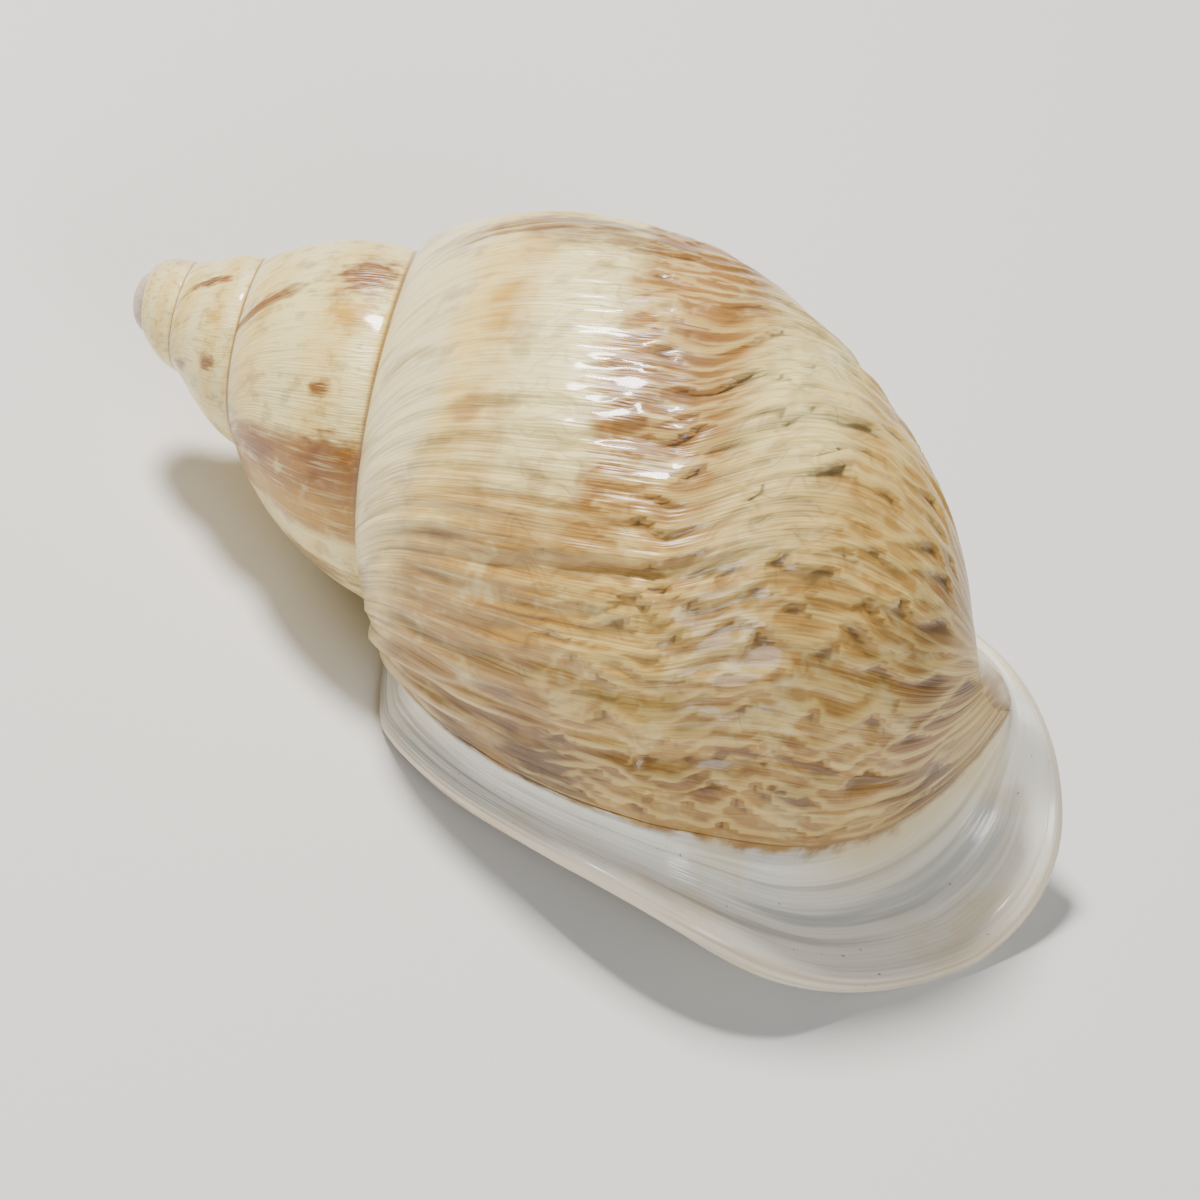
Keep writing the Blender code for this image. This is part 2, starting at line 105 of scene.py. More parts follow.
@dataclass(frozen=True)
class Coil:
    """The helical law of the outside: a whorl's outline at every turn, and its growth lines."""

    radius: Decay = Decay(14.52, (0.5966, 0.0355, -0.0205))
    depth: Decay = Decay(27.41, (0.7485, 0.0400, -0.0043))
    nub_turn: float = 2.5
    apex_turn: float = 3.6
    tip_radius: float = 0.4
    fullness: float = 0.6127
    fullness_per_turn: float = 0.4447
    nub_fullness: float = 0.58
    nub_rounding: float = 0.95
    flatten_from: float = 0.5
    flatten_ease: float = 0.4
    base_depth: float = 71.98
    base_decay: float = 0.1454
    base_rise: float = 0.50
    base_rise_from: float = 0.40
    base_rise_span: float = 0.75
    base_bulge: float = 1.519
    base_rounding: float = 0.534
    base_end: float = 1.985
    mouth_turn: float = -0.028
    lag_turns: float = 1.0 / 9.0
    lag_shoulder: float = 24.0
    lag_shoulder_reach: float = 0.12
    lag_side: float = 16.0
    lag_base: float = 65.0
    lag_base_power: float = 2.5
    base_spread: float = 2.2
    base_spread_power: float = 1.5
    inner_lip_turn: float = 0.252
    inner_lip_power: float = 1.3

    def length(self, turn: float, decay: Decay) -> float:
        """Returns a radius or a depth of the suture at a turn, closing to nothing at the apex."""
        if turn >= self.apex_turn:
            return 0.0
        if turn <= self.nub_turn:
            return decay.start * math.exp(decay.logarithm(turn))
        nub_turns = self.apex_turn - self.nub_turn
        power = decay.fall(self.nub_turn) * nub_turns
        rest = (self.apex_turn - turn) / nub_turns
        return decay.start * math.exp(decay.logarithm(self.nub_turn)) * rest**power

    def suture(self, turn: float) -> tuple[float, float]:
        """Returns the radius and the depth of the suture at a turn."""
        return self.length(turn, self.radius), self.length(turn, self.depth)

    def base_depth_at(self, turn: float) -> float:
        """Returns the depth at which the base of a whorl meets the pillar."""
        past = turn - self.base_rise_from
        rise = self.base_rise * ease(past / self.base_rise_span)
        rise += self.base_rise * max(past - self.base_rise_span, 0.0)
        return self.base_depth * math.exp(-self.base_decay * turn - rise)

    def flattening(self, turn: float) -> float:
        """Returns the turns over which the sides have grown flatter towards the apex."""
        past = min(turn, self.nub_turn) - self.flatten_from
        if past > self.flatten_ease:
            return past
        return max(past + self.flatten_ease, 0.0) ** 2 / (4.0 * self.flatten_ease)

    def outline(self, turn: float, down: float) -> tuple[float, float]:
        """Finds a point of a whorl's outline.

        Args:
            turn: The turn, counted back from the mouth.
            down: The place on the outline: 0 at its suture, 1 at the next and 2 on the axis.

        Returns:
            The radius and the depth.
        """
        radius, depth = self.suture(turn)
        next_radius, next_depth = self.suture(turn - 1.0)
        if down <= 1.0:
            fullness = self.fullness + self.fullness_per_turn * self.flattening(turn)
            nub = ease((turn - self.nub_turn) / self.nub_rounding)
            bulge = (1.0 - (1.0 - down) ** 2) ** mix(fullness, self.nub_fullness, nub)
            return mix(radius, next_radius, bulge), mix(depth, next_depth, down)
        low = min(down - 1.0, 1.0)
        round_in = max(1.0 - low**self.base_bulge, 0.0) ** self.base_rounding
        return next_radius * round_in, mix(next_depth, self.base_depth_at(turn), low)

    def point(self, turn: float, down: float) -> Vector:
        """Returns a point of the outside."""
        radius, depth = self.outline(turn, down)
        if radius < self.tip_radius:
            return Vector((0.0, 0.0, 0.0))
        angle = math.tau * turn
        return Vector((radius * math.cos(angle), radius * math.sin(angle), -depth))

    def outward(self, turn: float, down: float) -> Vector:
        """Returns the direction away from the wall at a point of the outside."""
        low = min(max(down, SMALL), self.base_end)
        along = self.point(turn - SMALL, low) - self.point(turn + SMALL, low)
        across = self.point(turn, low + SMALL) - self.point(turn, low - SMALL)
        return along.cross(across).normalized()

    def lag(self, down: float) -> float:
        """Returns the turns by which a growth line trails its own suture point."""
        if down <= 1.0:
            shoulder = 1.0 - math.exp(-down / self.lag_shoulder_reach)
            shoulder /= 1.0 - math.exp(-1.0 / self.lag_shoulder_reach)
            return (self.lag_shoulder * shoulder + self.lag_side * down) / 360.0
        return self.lag_turns - self.lag_base / 360.0 * (down - 1.0) ** self.lag_base_power

    def lip_turn(self, down: float) -> float:
        """Returns the turn at which the outer lip stands."""
        return self.mouth_turn + self.lag(down)

    def inner_turn(self, down: float) -> float:
        """Returns the turn at which the inner lip crosses the base of the whorl before it."""
        share = (down - 1.0) / (self.base_end - 1.0)
        return self.mouth_turn + 1.0 - self.inner_lip_turn * share**self.inner_lip_power

    def base_turn(self, share: float, down: float) -> float:
        """Returns the turn a share of the way from the outer to the inner lip."""
        return mix(self.lip_turn(down), self.inner_turn(down), share)

    def base_share(self, share: float, down: float) -> float:
        """Returns how far a growth line has swung from the outer to the inner lip."""
        wider = 1.0 + self.base_spread * max(down - 1.0, 0.0) ** self.base_spread_power
        return wider * share / math.sqrt(1.0 + (wider * wider - 1.0) * share * share)

    def growth_turn(self, line: float, down: float) -> float:
        """Returns the turn of a growth line, counted in turns back from the mouth."""
        if down <= 1.0:
            return self.mouth_turn + line + self.lag(down)
        return self.base_turn(self.base_share(line / (1.0 - self.lag_turns), down), down)


@dataclass(frozen=True)
class Relief:
    """The wrinkles, lobes and growth halts that stand on the outside, in millimetres."""

    turn_length: float = 120.0
    shrink: float = 0.62
    down_length: float = 33.0
    lobe: float = 1.05
    lobe_floor: float = 0.40
    lobe_decay: float = 58.0
    lobe_width: float = 1.15
    lobe_length: float = 5.2
    lobe_bow: float = 0.95
    lobe_tail: float = 1.5
    rope: float = 0.26
    rope_width: float = 1.1
    rope_length: float = 15.0
    fine_rope: float = 0.09
    swell: float = 0.22
    swell_width: float = 7.0
    mallet: float = 0.20
    mallet_width: float = 3.6
    corner_fold: float = 0.46
    corner_fold_width: float = 2.7
    halts: tuple[tuple[float, float, float, float], ...] = (
        (3.1, 0.95, 1.80, 0.30),
        (5.8, 0.30, 1.10, 0.24),
        (9.5, 0.55, 1.55, 0.30),
        (15.5, 0.40, 1.30, 0.28),
        (22.5, 0.55, 1.65, 0.24),
        (31.0, 0.45, 1.50, 0.20),
        (43.0, 0.35, 1.70, 0.22),
    )
    crease: tuple[tuple[float, float], ...] = ((1.02, 4.4), (1.10, 4.9), (1.54, 5.7), (1.92, 4.4))
    crease_depth: float = 0.34
    lip_reach: float = 16.0
    blocky_from: float = 0.50
    blocky_span: float = 0.42
    blocky_decay: float = 75.0
    spire_from: float = 0.8
    spire_decay: float = 1.3
    thread_width: float = 0.55
    grooved: float = 1.3

    def along(self, line: float) -> float:
        """Returns the length of whorl grown since a growth line, in millimetres."""
        return self.turn_length / self.shrink * (1.0 - math.exp(-self.shrink * line))

    def lobes(self, grown: float, across: float) -> tuple[float, float]:
        """Finds the rows of bow-edged lobes, which overlap towards the mouth like tiles.

        Args:
            grown: Length of whorl grown since, in millimetres.
            across: Length down the whorl, in millimetres.

        Returns:
            The height from 0 to 1, and how near the crest is, from 0 in a groove to 1.
        """
        bend = noise.noise(Vector((grown / 5.0, across / 8.0, 3.1)))
        place = (grown + 1.7 * bend) / self.lobe_width
        best = (0.0, 0.0)
        for row in range(math.floor(place) - 3, math.floor(place) + 2):
            start = 40.0 * noise.cell(Vector((row + 0.5, 0.5, 0.5)))
            spot = across + 1.6 * noise.noise(Vector((across / 5.0, 5.7 * row, 2.9)))
            side = 2.0 * ((spot / self.lobe_length + start) % 1.0) - 1.0
            own = 0.5 + 0.9 * noise.noise(Vector((across / 4.5, 3.7 * row, 8.1)))
            own = min(max(own, 0.0), 1.0)
            past = place - row - self.lobe_bow * own * side * side - 0.4 * own
            if 0.0 < past < self.lobe_tail:
                crest = ease(past / 0.34) * (1.0 - past / self.lobe_tail) ** 0.8
                top = (0.3 + 0.7 * own) * crest
                if top > best[0]:
                    best = (top, crest)
        return best

    def ropes(self, grown: float, across: float) -> float:
        """Returns the height of the long wrinkles along the growth lines, from -1 to 1."""
        bend = noise.noise(Vector((grown / 8.0, across / 11.0, 5.3)))
        place = Vector((grown / self.rope_width + 1.2 * bend, across / self.rope_length, 1.9))
        return 1.5 * noise.noise(place) + 0.6 * noise.noise(place * 2.1)

    def halt(self, grown: float, across: float, down: float) -> float:
        """Returns the steps where growth halted: a ridge with a groove on its mouth side."""
        height = 0.0
        for place, top, bottom, size in self.halts:
            shift = 1.2 * noise.noise(Vector((place, across / 8.0, 2.2)))
            far = (grown - place - shift) / 0.55
            if abs(far) < 4.0:
                height += size * hump(down, top, bottom, 0.25) * far * math.exp(-0.5 * far * far)
        return 1.5 * height

    def creased(self, grown: float, down: float) -> float:
        """Returns the long crease that runs slantwise across the base, as a depth from 0 to 1."""
        for (top, first), (bottom, second) in zip(self.crease, self.crease[1:]):
            if top <= down <= bottom:
                far = (grown - mix(first, second, (down - top) / (bottom - top))) / 0.42
                ends = hump(down, self.crease[0][0], self.crease[-1][0], 0.16)
                return ends * math.exp(-far * far)
        return 0.0

    def surface(self, line: float, down: float) -> tuple[float, float, float]:
        """Finds the surface's own relief at a place.

        Args:
            line: The growth line, in turns back from the mouth.
            down: The place on the whorl's outline.

        Returns:
            The height in millimetres, how high the wrinkles stand from -1 in a groove to 1 on a
            crest, and how strong the lobes are there.
        """
        grown = self.along(line)
        across = self.down_length * down * math.exp(-self.shrink * line)
        near = math.exp(-((grown / self.lobe_decay) ** 2))
        spire = math.exp(-max(line - self.spire_from, 0.0) * self.spire_decay)
        rough = mix(self.lobe_floor, 1.0, near) * ease(grown / 1.4 + 0.15) * spire
        patchy = 0.66 + 0.8 * noise.noise(Vector((grown / 9.0, across / 7.0, 6.1)))
        wander = 0.25 * noise.noise(Vector((grown / 12.0, across / 10.0, 8.8)))
        blocky = ease((down - self.blocky_from + wander) / self.blocky_span)
        blocky *= mix(0.35, 1.0, math.exp(-grown / self.blocky_decay))
        top, crest = self.lobes(grown, across)
        ropes = self.ropes(grown, across)
        near_lip = math.exp(-grown / self.lip_reach)
        below_suture = ease(down / 0.4)
        rope = self.rope * mix(0.55 * mix(0.35, 1.0, below_suture), 1.25, near_lip)
        rope *= mix(1.0, 0.35, blocky)
        lobe = self.lobe * patchy * blocky
        height = rough * (0.5 * lobe * (2.0 * top - 0.7) + rope * ropes)
        thread = noise.noise(Vector((grown / self.thread_width, across / 8.0, 12.4)))
        height += self.fine_rope * rough * thread
        smooth = (1.0 - blocky) * mix(0.45 * mix(0.3, 1.0, below_suture), 1.1, near_lip)
        tone = 1.1 * blocky * (3.2 * crest - 1.3) + smooth * ropes + 0.3 * thread
        tone = max(min(tone, 1.0), -1.0)
        height += self.halt(grown, across, down)
        crease = self.creased(grown, down)
        height -= self.crease_depth * crease
        rested = noise.noise(Vector((grown / self.swell_width, across / 30.0, 7.7)))
        height += self.swell * rested * mix(0.4, 1.0, rough)
        place = Vector((grown, across, 4.4)) / self.mallet_width
        mallet = ease((down - 0.5) / 0.4) * ease((grown - 8.0) / 18.0) * rough
        height += self.mallet * mallet * noise.noise(place)
        corner = math.exp(-(((grown - 4.6) / 4.2) ** 2)) * (1.0 - ease((down - 0.12) / 0.45))
        height += self.corner_fold * corner * math.cos(math.tau * grown / self.corner_fold_width)
        # The second value is the level from groove to crest, with the long crease taken off; the
        # material darkens the grooves and the crease with their brown and painted shade, and
        # lightens the crests as a painted highlight.
        return height, tone * min(rough * self.grooved, 1.0) - crease, patchy * blocky

    def fade(self, line: float, down: float, wide: float) -> float:
        """Returns how much of the relief is left near the sutures, the lips and the pillar."""
        top = ease(down / 0.10)
        low = 1.0 - ease((down - 1.72) / 0.24)
        under = ease((line - wide * 0.55) / (wide * 0.40)) * ease((down - 0.84) / 0.14)
        end = 1.0 - ease((line - wide * 0.90) / (wide * 0.10)) * ease((down - 0.9) / 0.1)
        return top * low * (1.0 - under * ease((line - wide) / 0.05 + 0.5)) * end


@dataclass(frozen=True)
class LipPlace:
    """One line across the lip: its place down the whorl or up the pillar."""

    down: float
    pillar: float | None = None
    inner: bool = False


@dataclass(frozen=True)
class Lip:
    """The lip: its neck round the mouth, and the flare that stands out from it."""

    coil: Coil
    thickness: float = 1.7
    width: float = 3.0
    base_width: float = 11.6
    foot_width: float = 3.2
    pillar_width: float = 1.8
    widen_from: float = 0.50
    widen_to: float = 1.75
    widen_power: float = 2.4
    narrow_from: float = 1.78
    narrow_power: float = 2.2
    pillar_narrow: float = 0.20
    corner_reach: float = 0.14
    corner_share: float = 0.6
    corner_late: float = 0.6
    corner_fade: float = 0.4
    bend: tuple[float, float] = (70.0, 98.0)
    bend_radius: tuple[float, float] = (2.2, 5.6)
    least_straight: float = 0.2
    arc_cells: int = 7
    straight_cells: int = 4
    tip_cells: int = 6
    pillar_foot: Vector = field(default_factory=lambda: Vector((-0.6, -3.4, -71.8)))
    pillar_bow: Vector = field(default_factory=lambda: Vector((-1.9, -5.4, -62.8)))
    pillar_lean: float = -0.15
    pillar_glaze_from: float = 0.72
    middle: Vector = field(default_factory=lambda: Vector((9.0, 0.0, -54.0)))
    facing: Vector = field(default_factory=lambda: Vector((0.15, -0.98, 0.1)))
    spread_from: float = 1.45
    callus: float = 0.45
    callus_reach: float = 0.030
    callus_edge: float = 4.0
    hollow_corner: float = 0.12
    ridge: float = 0.07
    ridge_pitch: float = 0.85
    rim: float = 0.20
    rim_rows: tuple[float, float] = (9.3, 11.8)
    wave: float = 0.12
    crease: float = 0.16
    crease_from_neck: float = 3.6
    row_length: float = 0.55

    def turn(self, place: LipPlace) -> float:
        """Returns the turn at which a line across the lip starts."""
        if place.pillar is not None:
            return self.coil.base_turn(place.pillar, self.coil.base_end)
        return self.coil.inner_turn(place.down) if place.inner else self.coil.lip_turn(place.down)

    def edge(self, place: LipPlace) -> Vector:
        """Returns the point of the outside where a line across the lip starts."""
        return self.coil.point(self.turn(place), place.down)

    def neck(self, place: LipPlace) -> Vector:
        """Returns the point from which the lip bends outwards."""
        if place.pillar is None:
            return self.edge(place)
        end = self.coil.base_end
        foot = self.coil.point(self.coil.lip_turn(end), end)
        head = self.coil.point(self.coil.inner_turn(end), end)
        return curve_point(foot, self.pillar_foot, self.pillar_bow, head, place.pillar)

    def directions(self, places: list[LipPlace], index: int) -> tuple[Vector, Vector, Vector]:
        """Finds how the lip stands at a place.

        Args:
            places: The lines across the lip, in order round the mouth.
            index: Which line.

        Returns:
            The neck point, the way out of the mouth, and the way the lip flares.
        """
        place = places[index]
        before = self.neck(places[index - 1])
        after = self.neck(places[(index + 1) % len(places)])
        neck = self.neck(place)
        along = (after - before).normalized()
        spread = neck - self.middle
        spread.y = self.pillar_lean * spread.length
        spread.normalize()
        facing = (self.facing - spread * self.facing.dot(spread)).normalized()
        if place.pillar is not None:
            return neck, facing, spread
        flare = self.coil.outward(self.turn(place), place.down)
        flare = (flare - along * flare.dot(along)).normalized()
        out = flare.cross(along)
        if out.y > 0.0:
            out = -out
        share = ease((place.down - self.spread_from) / (self.coil.base_end - self.spread_from))
        flare = flare.slerp(spread, share)
        out = out.slerp(facing, share)
        out = (out - flare * out.dot(flare)).normalized()
        return neck, out, flare

    def width_at(self, place: LipPlace) -> float:
        """Returns how far the lip stands out from its neck."""
        widen = (place.down - self.widen_from) / (self.widen_to - self.widen_from)
        wide = mix(self.width, self.base_width, min(max(widen, 0.0), 1.0) ** self.widen_power)
        narrow = (place.down - self.narrow_from) / (self.coil.base_end - self.narrow_from)
        wide = mix(wide, self.foot_width, max(narrow, 0.0) ** self.narrow_power)
        if place.pillar is None:
            return wide
        return mix(wide, self.pillar_width, ease(place.pillar / self.pillar_narrow))

    def section(self, width: float) -> list[Vector]:
        """Draws the section of the lip from its neck round the rim to the inside.

        Args:
            width: How far the lip stands out.

        Returns:
            Points, each as (out of the mouth, outwards).
        """
        share = (width - self.width) / (self.base_width - self.width)
        bend = math.radians(mix(*self.bend, share))
        radius = mix(*self.bend_radius, share)
        half = 0.5 * self.thickness
        tip = half * (math.sin(bend) - math.cos(bend))
        straight = (width - radius * (1.0 - math.cos(bend)) - tip) / math.sin(bend)
        straight = max(straight, self.least_straight)
        forward = Vector((math.cos(bend), math.sin(bend)))
        inward = Vector((math.sin(bend), -math.cos(bend)))
        points = []
        for cell in range(1, self.arc_cells + 1):
            angle = bend * cell / self.arc_cells
            points.append(Vector((radius * math.sin(angle), radius * (1.0 - math.cos(angle)))))
        bent = points[-1]
        for cell in range(1, self.straight_cells + 1):
            points.append(bent + forward * (straight * cell / self.straight_cells))
        middle = points[-1] + inward * half
        for cell in range(1, self.tip_cells + 1):
            angle = math.pi * cell / self.tip_cells
            round_tip = forward * (half * math.sin(angle)) - inward * (half * math.cos(angle))
            points.append(middle + round_tip)
        back = points[-1]
        for cell in range(1, self.straight_cells + 1):
            points.append(back - forward * (straight * cell / self.straight_cells))
        for cell in range(self.arc_cells - 1, -1, -1):
            angle = bend * cell / self.arc_cells
            outer = radius + self.thickness
            points.append(Vector((outer * math.sin(angle), radius - outer * math.cos(angle))))
        return points

    def rows(self) -> int:
        """Returns how many rows of cells the lip has."""
        return len(self.section(self.width))

    def glaze(self, turn: float, down: float, share: float) -> Vector:
        """Returns a point of the thin glaze over the whorl before, a share of the way in."""
        inside = turn + self.callus_reach * share
        lift = self.callus * ease(share * self.callus_edge)
        up = self.hollow_corner * share * (1.0 - (down - 1.0) / (self.coil.base_end - 1.0))
        return self.coil.point(inside, down + up) + self.coil.outward(inside, down + up) * lift

    def relief(self, around: float, across: float) -> float:
        """Returns how far the lip's own fine ridges stand up, in millimetres.

        Args:
            around: Length round the mouth.
            across: Length across the lip from its neck.
        """
        bend = noise.noise(Vector((around / 16.0, across / 5.0, 8.1)))
        ridges = math.sin(math.tau * (across / self.ridge_pitch + 0.8 * bend))
        waves = noise.noise(Vector((around / 7.0, across / 6.0, 6.5)))
        far = (across - self.crease_from_neck - 0.5 * bend) / 0.45
        crease = -math.exp(-far * far)
        return self.ridge * ridges * (0.5 + bend) + self.wave * waves + self.crease * crease

    def point(self, places: list[LipPlace], index: int, row: int, around: float) -> Vector:
        """Finds a corner of the lip.

        Args:
            places: The lines across the lip, in order round the mouth.
            index: Which line.
            row: 0 on the outside and the last row on the inside.
            around: Length round the mouth at this line, in millimetres.

        Returns:
            The point.
        """
        place = places[index]
        if row == 0:
            return self.edge(place)
        share = row / self.rows()
        late = max((share - self.corner_late) / (1.0 - self.corner_late), 0.0)
        turn = self.turn(place)
        if place.inner:
            late = mix(late, share, ease((place.down - 1.0) / self.corner_fade))
            return self.glaze(turn, place.down, late)
        corner = self.glaze(self.coil.mouth_turn + 1.0, 1.0, late)
        neck, out, flare = self.directions(places, max(index, 1))
        section = self.section(self.width_at(place))
        step = section[row - 1]
        before = section[row - 2] if row > 1 else Vector((0.0, 0.0))
        after = section[min(row, len(section) - 1)]
        slope = (after - before).normalized()
        fade = ease(row / 4.0) * (1.0 - ease((share - 0.75) / 0.2))
        lift = self.relief(around, row * self.row_length) * fade
        rim = self.rim * hump(row, *self.rim_rows, 2.0)
        lift += rim * ease((self.width_at(place) - self.width) / 3.0)
        step = step + Vector((-slope.y, slope.x)) * lift
        stand = out * step.x + flare * step.y
        point = neck + stand
        if place.pillar is not None:
            end = self.coil.base_end
            glaze = self.glaze(self.coil.inner_turn(end), end, share) + neck
            glaze -= self.coil.point(self.coil.inner_turn(end), end)
            near = (place.pillar - self.pillar_glaze_from) / (1.0 - self.pillar_glaze_from)
            return point.lerp(glaze, ease(near))
        corner += stand * self.corner_share * (1.0 - late)
        return corner.lerp(point, ease(place.down / self.corner_reach))


@dataclass(frozen=True)
class Hollow:
    """The hollow inside the last whorl, which narrows and ends rounded out of sight."""

    coil: Coil
    lip: Lip
    wall: float = 1.5
    turns: float = 0.62
    cells: int = 16
    crowding: float = 1.15
    end_sizes: tuple[float, ...] = (0.93, 0.80, 0.60, 0.33, 0.0)
    end_turns: float = 0.009
    inner_turn: float = 0.8
    pillar_radius: float = 4.2
    pillar_taper: float = 0.7

    def down_at_radius(self, turn: float, radius: float) -> float:
        """Returns the place on the base where it has come in to a radius."""
        share = min(radius / self.coil.suture(turn - 1.0)[0], 1.0)
        low = 1.0 - share ** (1.0 / self.coil.base_rounding)
        return 1.0 + low ** (1.0 / self.coil.base_bulge)

    def pillar_at(self, turns: float) -> float:
        """Returns the radius of the pillar, some turns in from the mouth."""
        return self.pillar_radius * math.exp(-self.pillar_taper * turns)

    def outer(self, down: float, turns: float) -> Vector:
        """Returns a corner of the hollow on the outer wall."""
        low = self.down_at_radius(self.coil.mouth_turn + turns, self.pillar_at(turns))
        place = mix(self.lip.hollow_corner, low, down / self.coil.base_end)
        turn = self.coil.lip_turn(place) + turns
        return self.coil.point(turn, place) - self.coil.outward(turn, place) * self.wall

    def inner(self, down: float, turns: float) -> Vector:
        """Returns a corner of the hollow on the whorl before."""
        first = self.coil.mouth_turn + self.inner_turn + turns
        low = self.down_at_radius(first, self.pillar_at(turns))
        share = (down - 1.0) / (self.coil.base_end - 1.0)
        place = mix(1.0 + self.lip.hollow_corner, low, share)
        turn = self.coil.inner_turn(down) + self.lip.callus_reach + turns
        return self.coil.point(turn, place) + self.coil.outward(turn, place) * self.lip.callus

    def pillar(self, share: float, turns: float) -> Vector:
        """Returns a corner of the hollow on the pillar, a share of the way from its foot."""
        foot = self.outer(self.coil.base_end, turns)
        head = self.inner(self.coil.base_end, turns)
        start = math.atan2(foot.y, foot.x)
        end = math.atan2(head.y, head.x)
        if end > start:
            end -= math.tau
        angle = mix(start, end, share)
        radius = mix(foot.xy.length, head.xy.length, share)
        depth = mix(foot.z, head.z, share)
        return Vector((radius * math.cos(angle), radius * math.sin(angle), depth))

    def point(self, places: list[LipPlace], index: int, turns: float) -> Vector:
        """Returns a corner of the hollow, some turns in from the mouth."""
        place = places[index]
        if place.pillar is not None:
            return self.pillar(place.pillar, turns)
        if place.inner:
            return self.inner(place.down, turns)
        corner = self.outer(place.down, turns)
        if index == 0:
            return corner.lerp(self.inner(1.0, turns), 0.5)
        return corner

    def rings(self, places: list[LipPlace]) -> list[list[Vector]]:
        """Works out the hollow's rings of corners.

        Args:
            places: The lines across the lip, in order round the mouth.

        Returns:
            The rings, from the first one inside the lip to the rounded end.
        """
        rings = []
        for row in range(1, self.cells + 1):
            turns = self.turns * (row / self.cells) ** self.crowding
            rings.append([self.point(places, i, turns) for i in range(len(places))])
        for step, size in enumerate(self.end_sizes, start=1):
            turns = self.turns + self.end_turns * step
            ring = [self.point(places, i, turns) for i in range(len(places))]
            middle = sum(ring, Vector()) / len(ring)
            rings.append([middle.lerp(point, size) for point in ring])
        return rings


@dataclass(frozen=True)
class Rest:
    """How the shell lies in the part's frame."""

    down: Vector = field(default_factory=lambda: Vector((0.6950, -0.7143, 0.0822)))
    apex: Vector = field(default_factory=lambda: Vector((-40.411, 4.311, 13.042)))

    def matrix(self) -> Matrix:
        """Returns the turn and shift from the shell's own axes to the part's frame."""
        up = -self.down.normalized()
        axis = Vector((0.0, 0.0, 1.0))
        back = (axis - up * axis.dot(up)).normalized()
        side = up.cross(-back)
        turned = Matrix((-back, side, up)).to_4x4()
        turned.translation = self.apex
        return turned


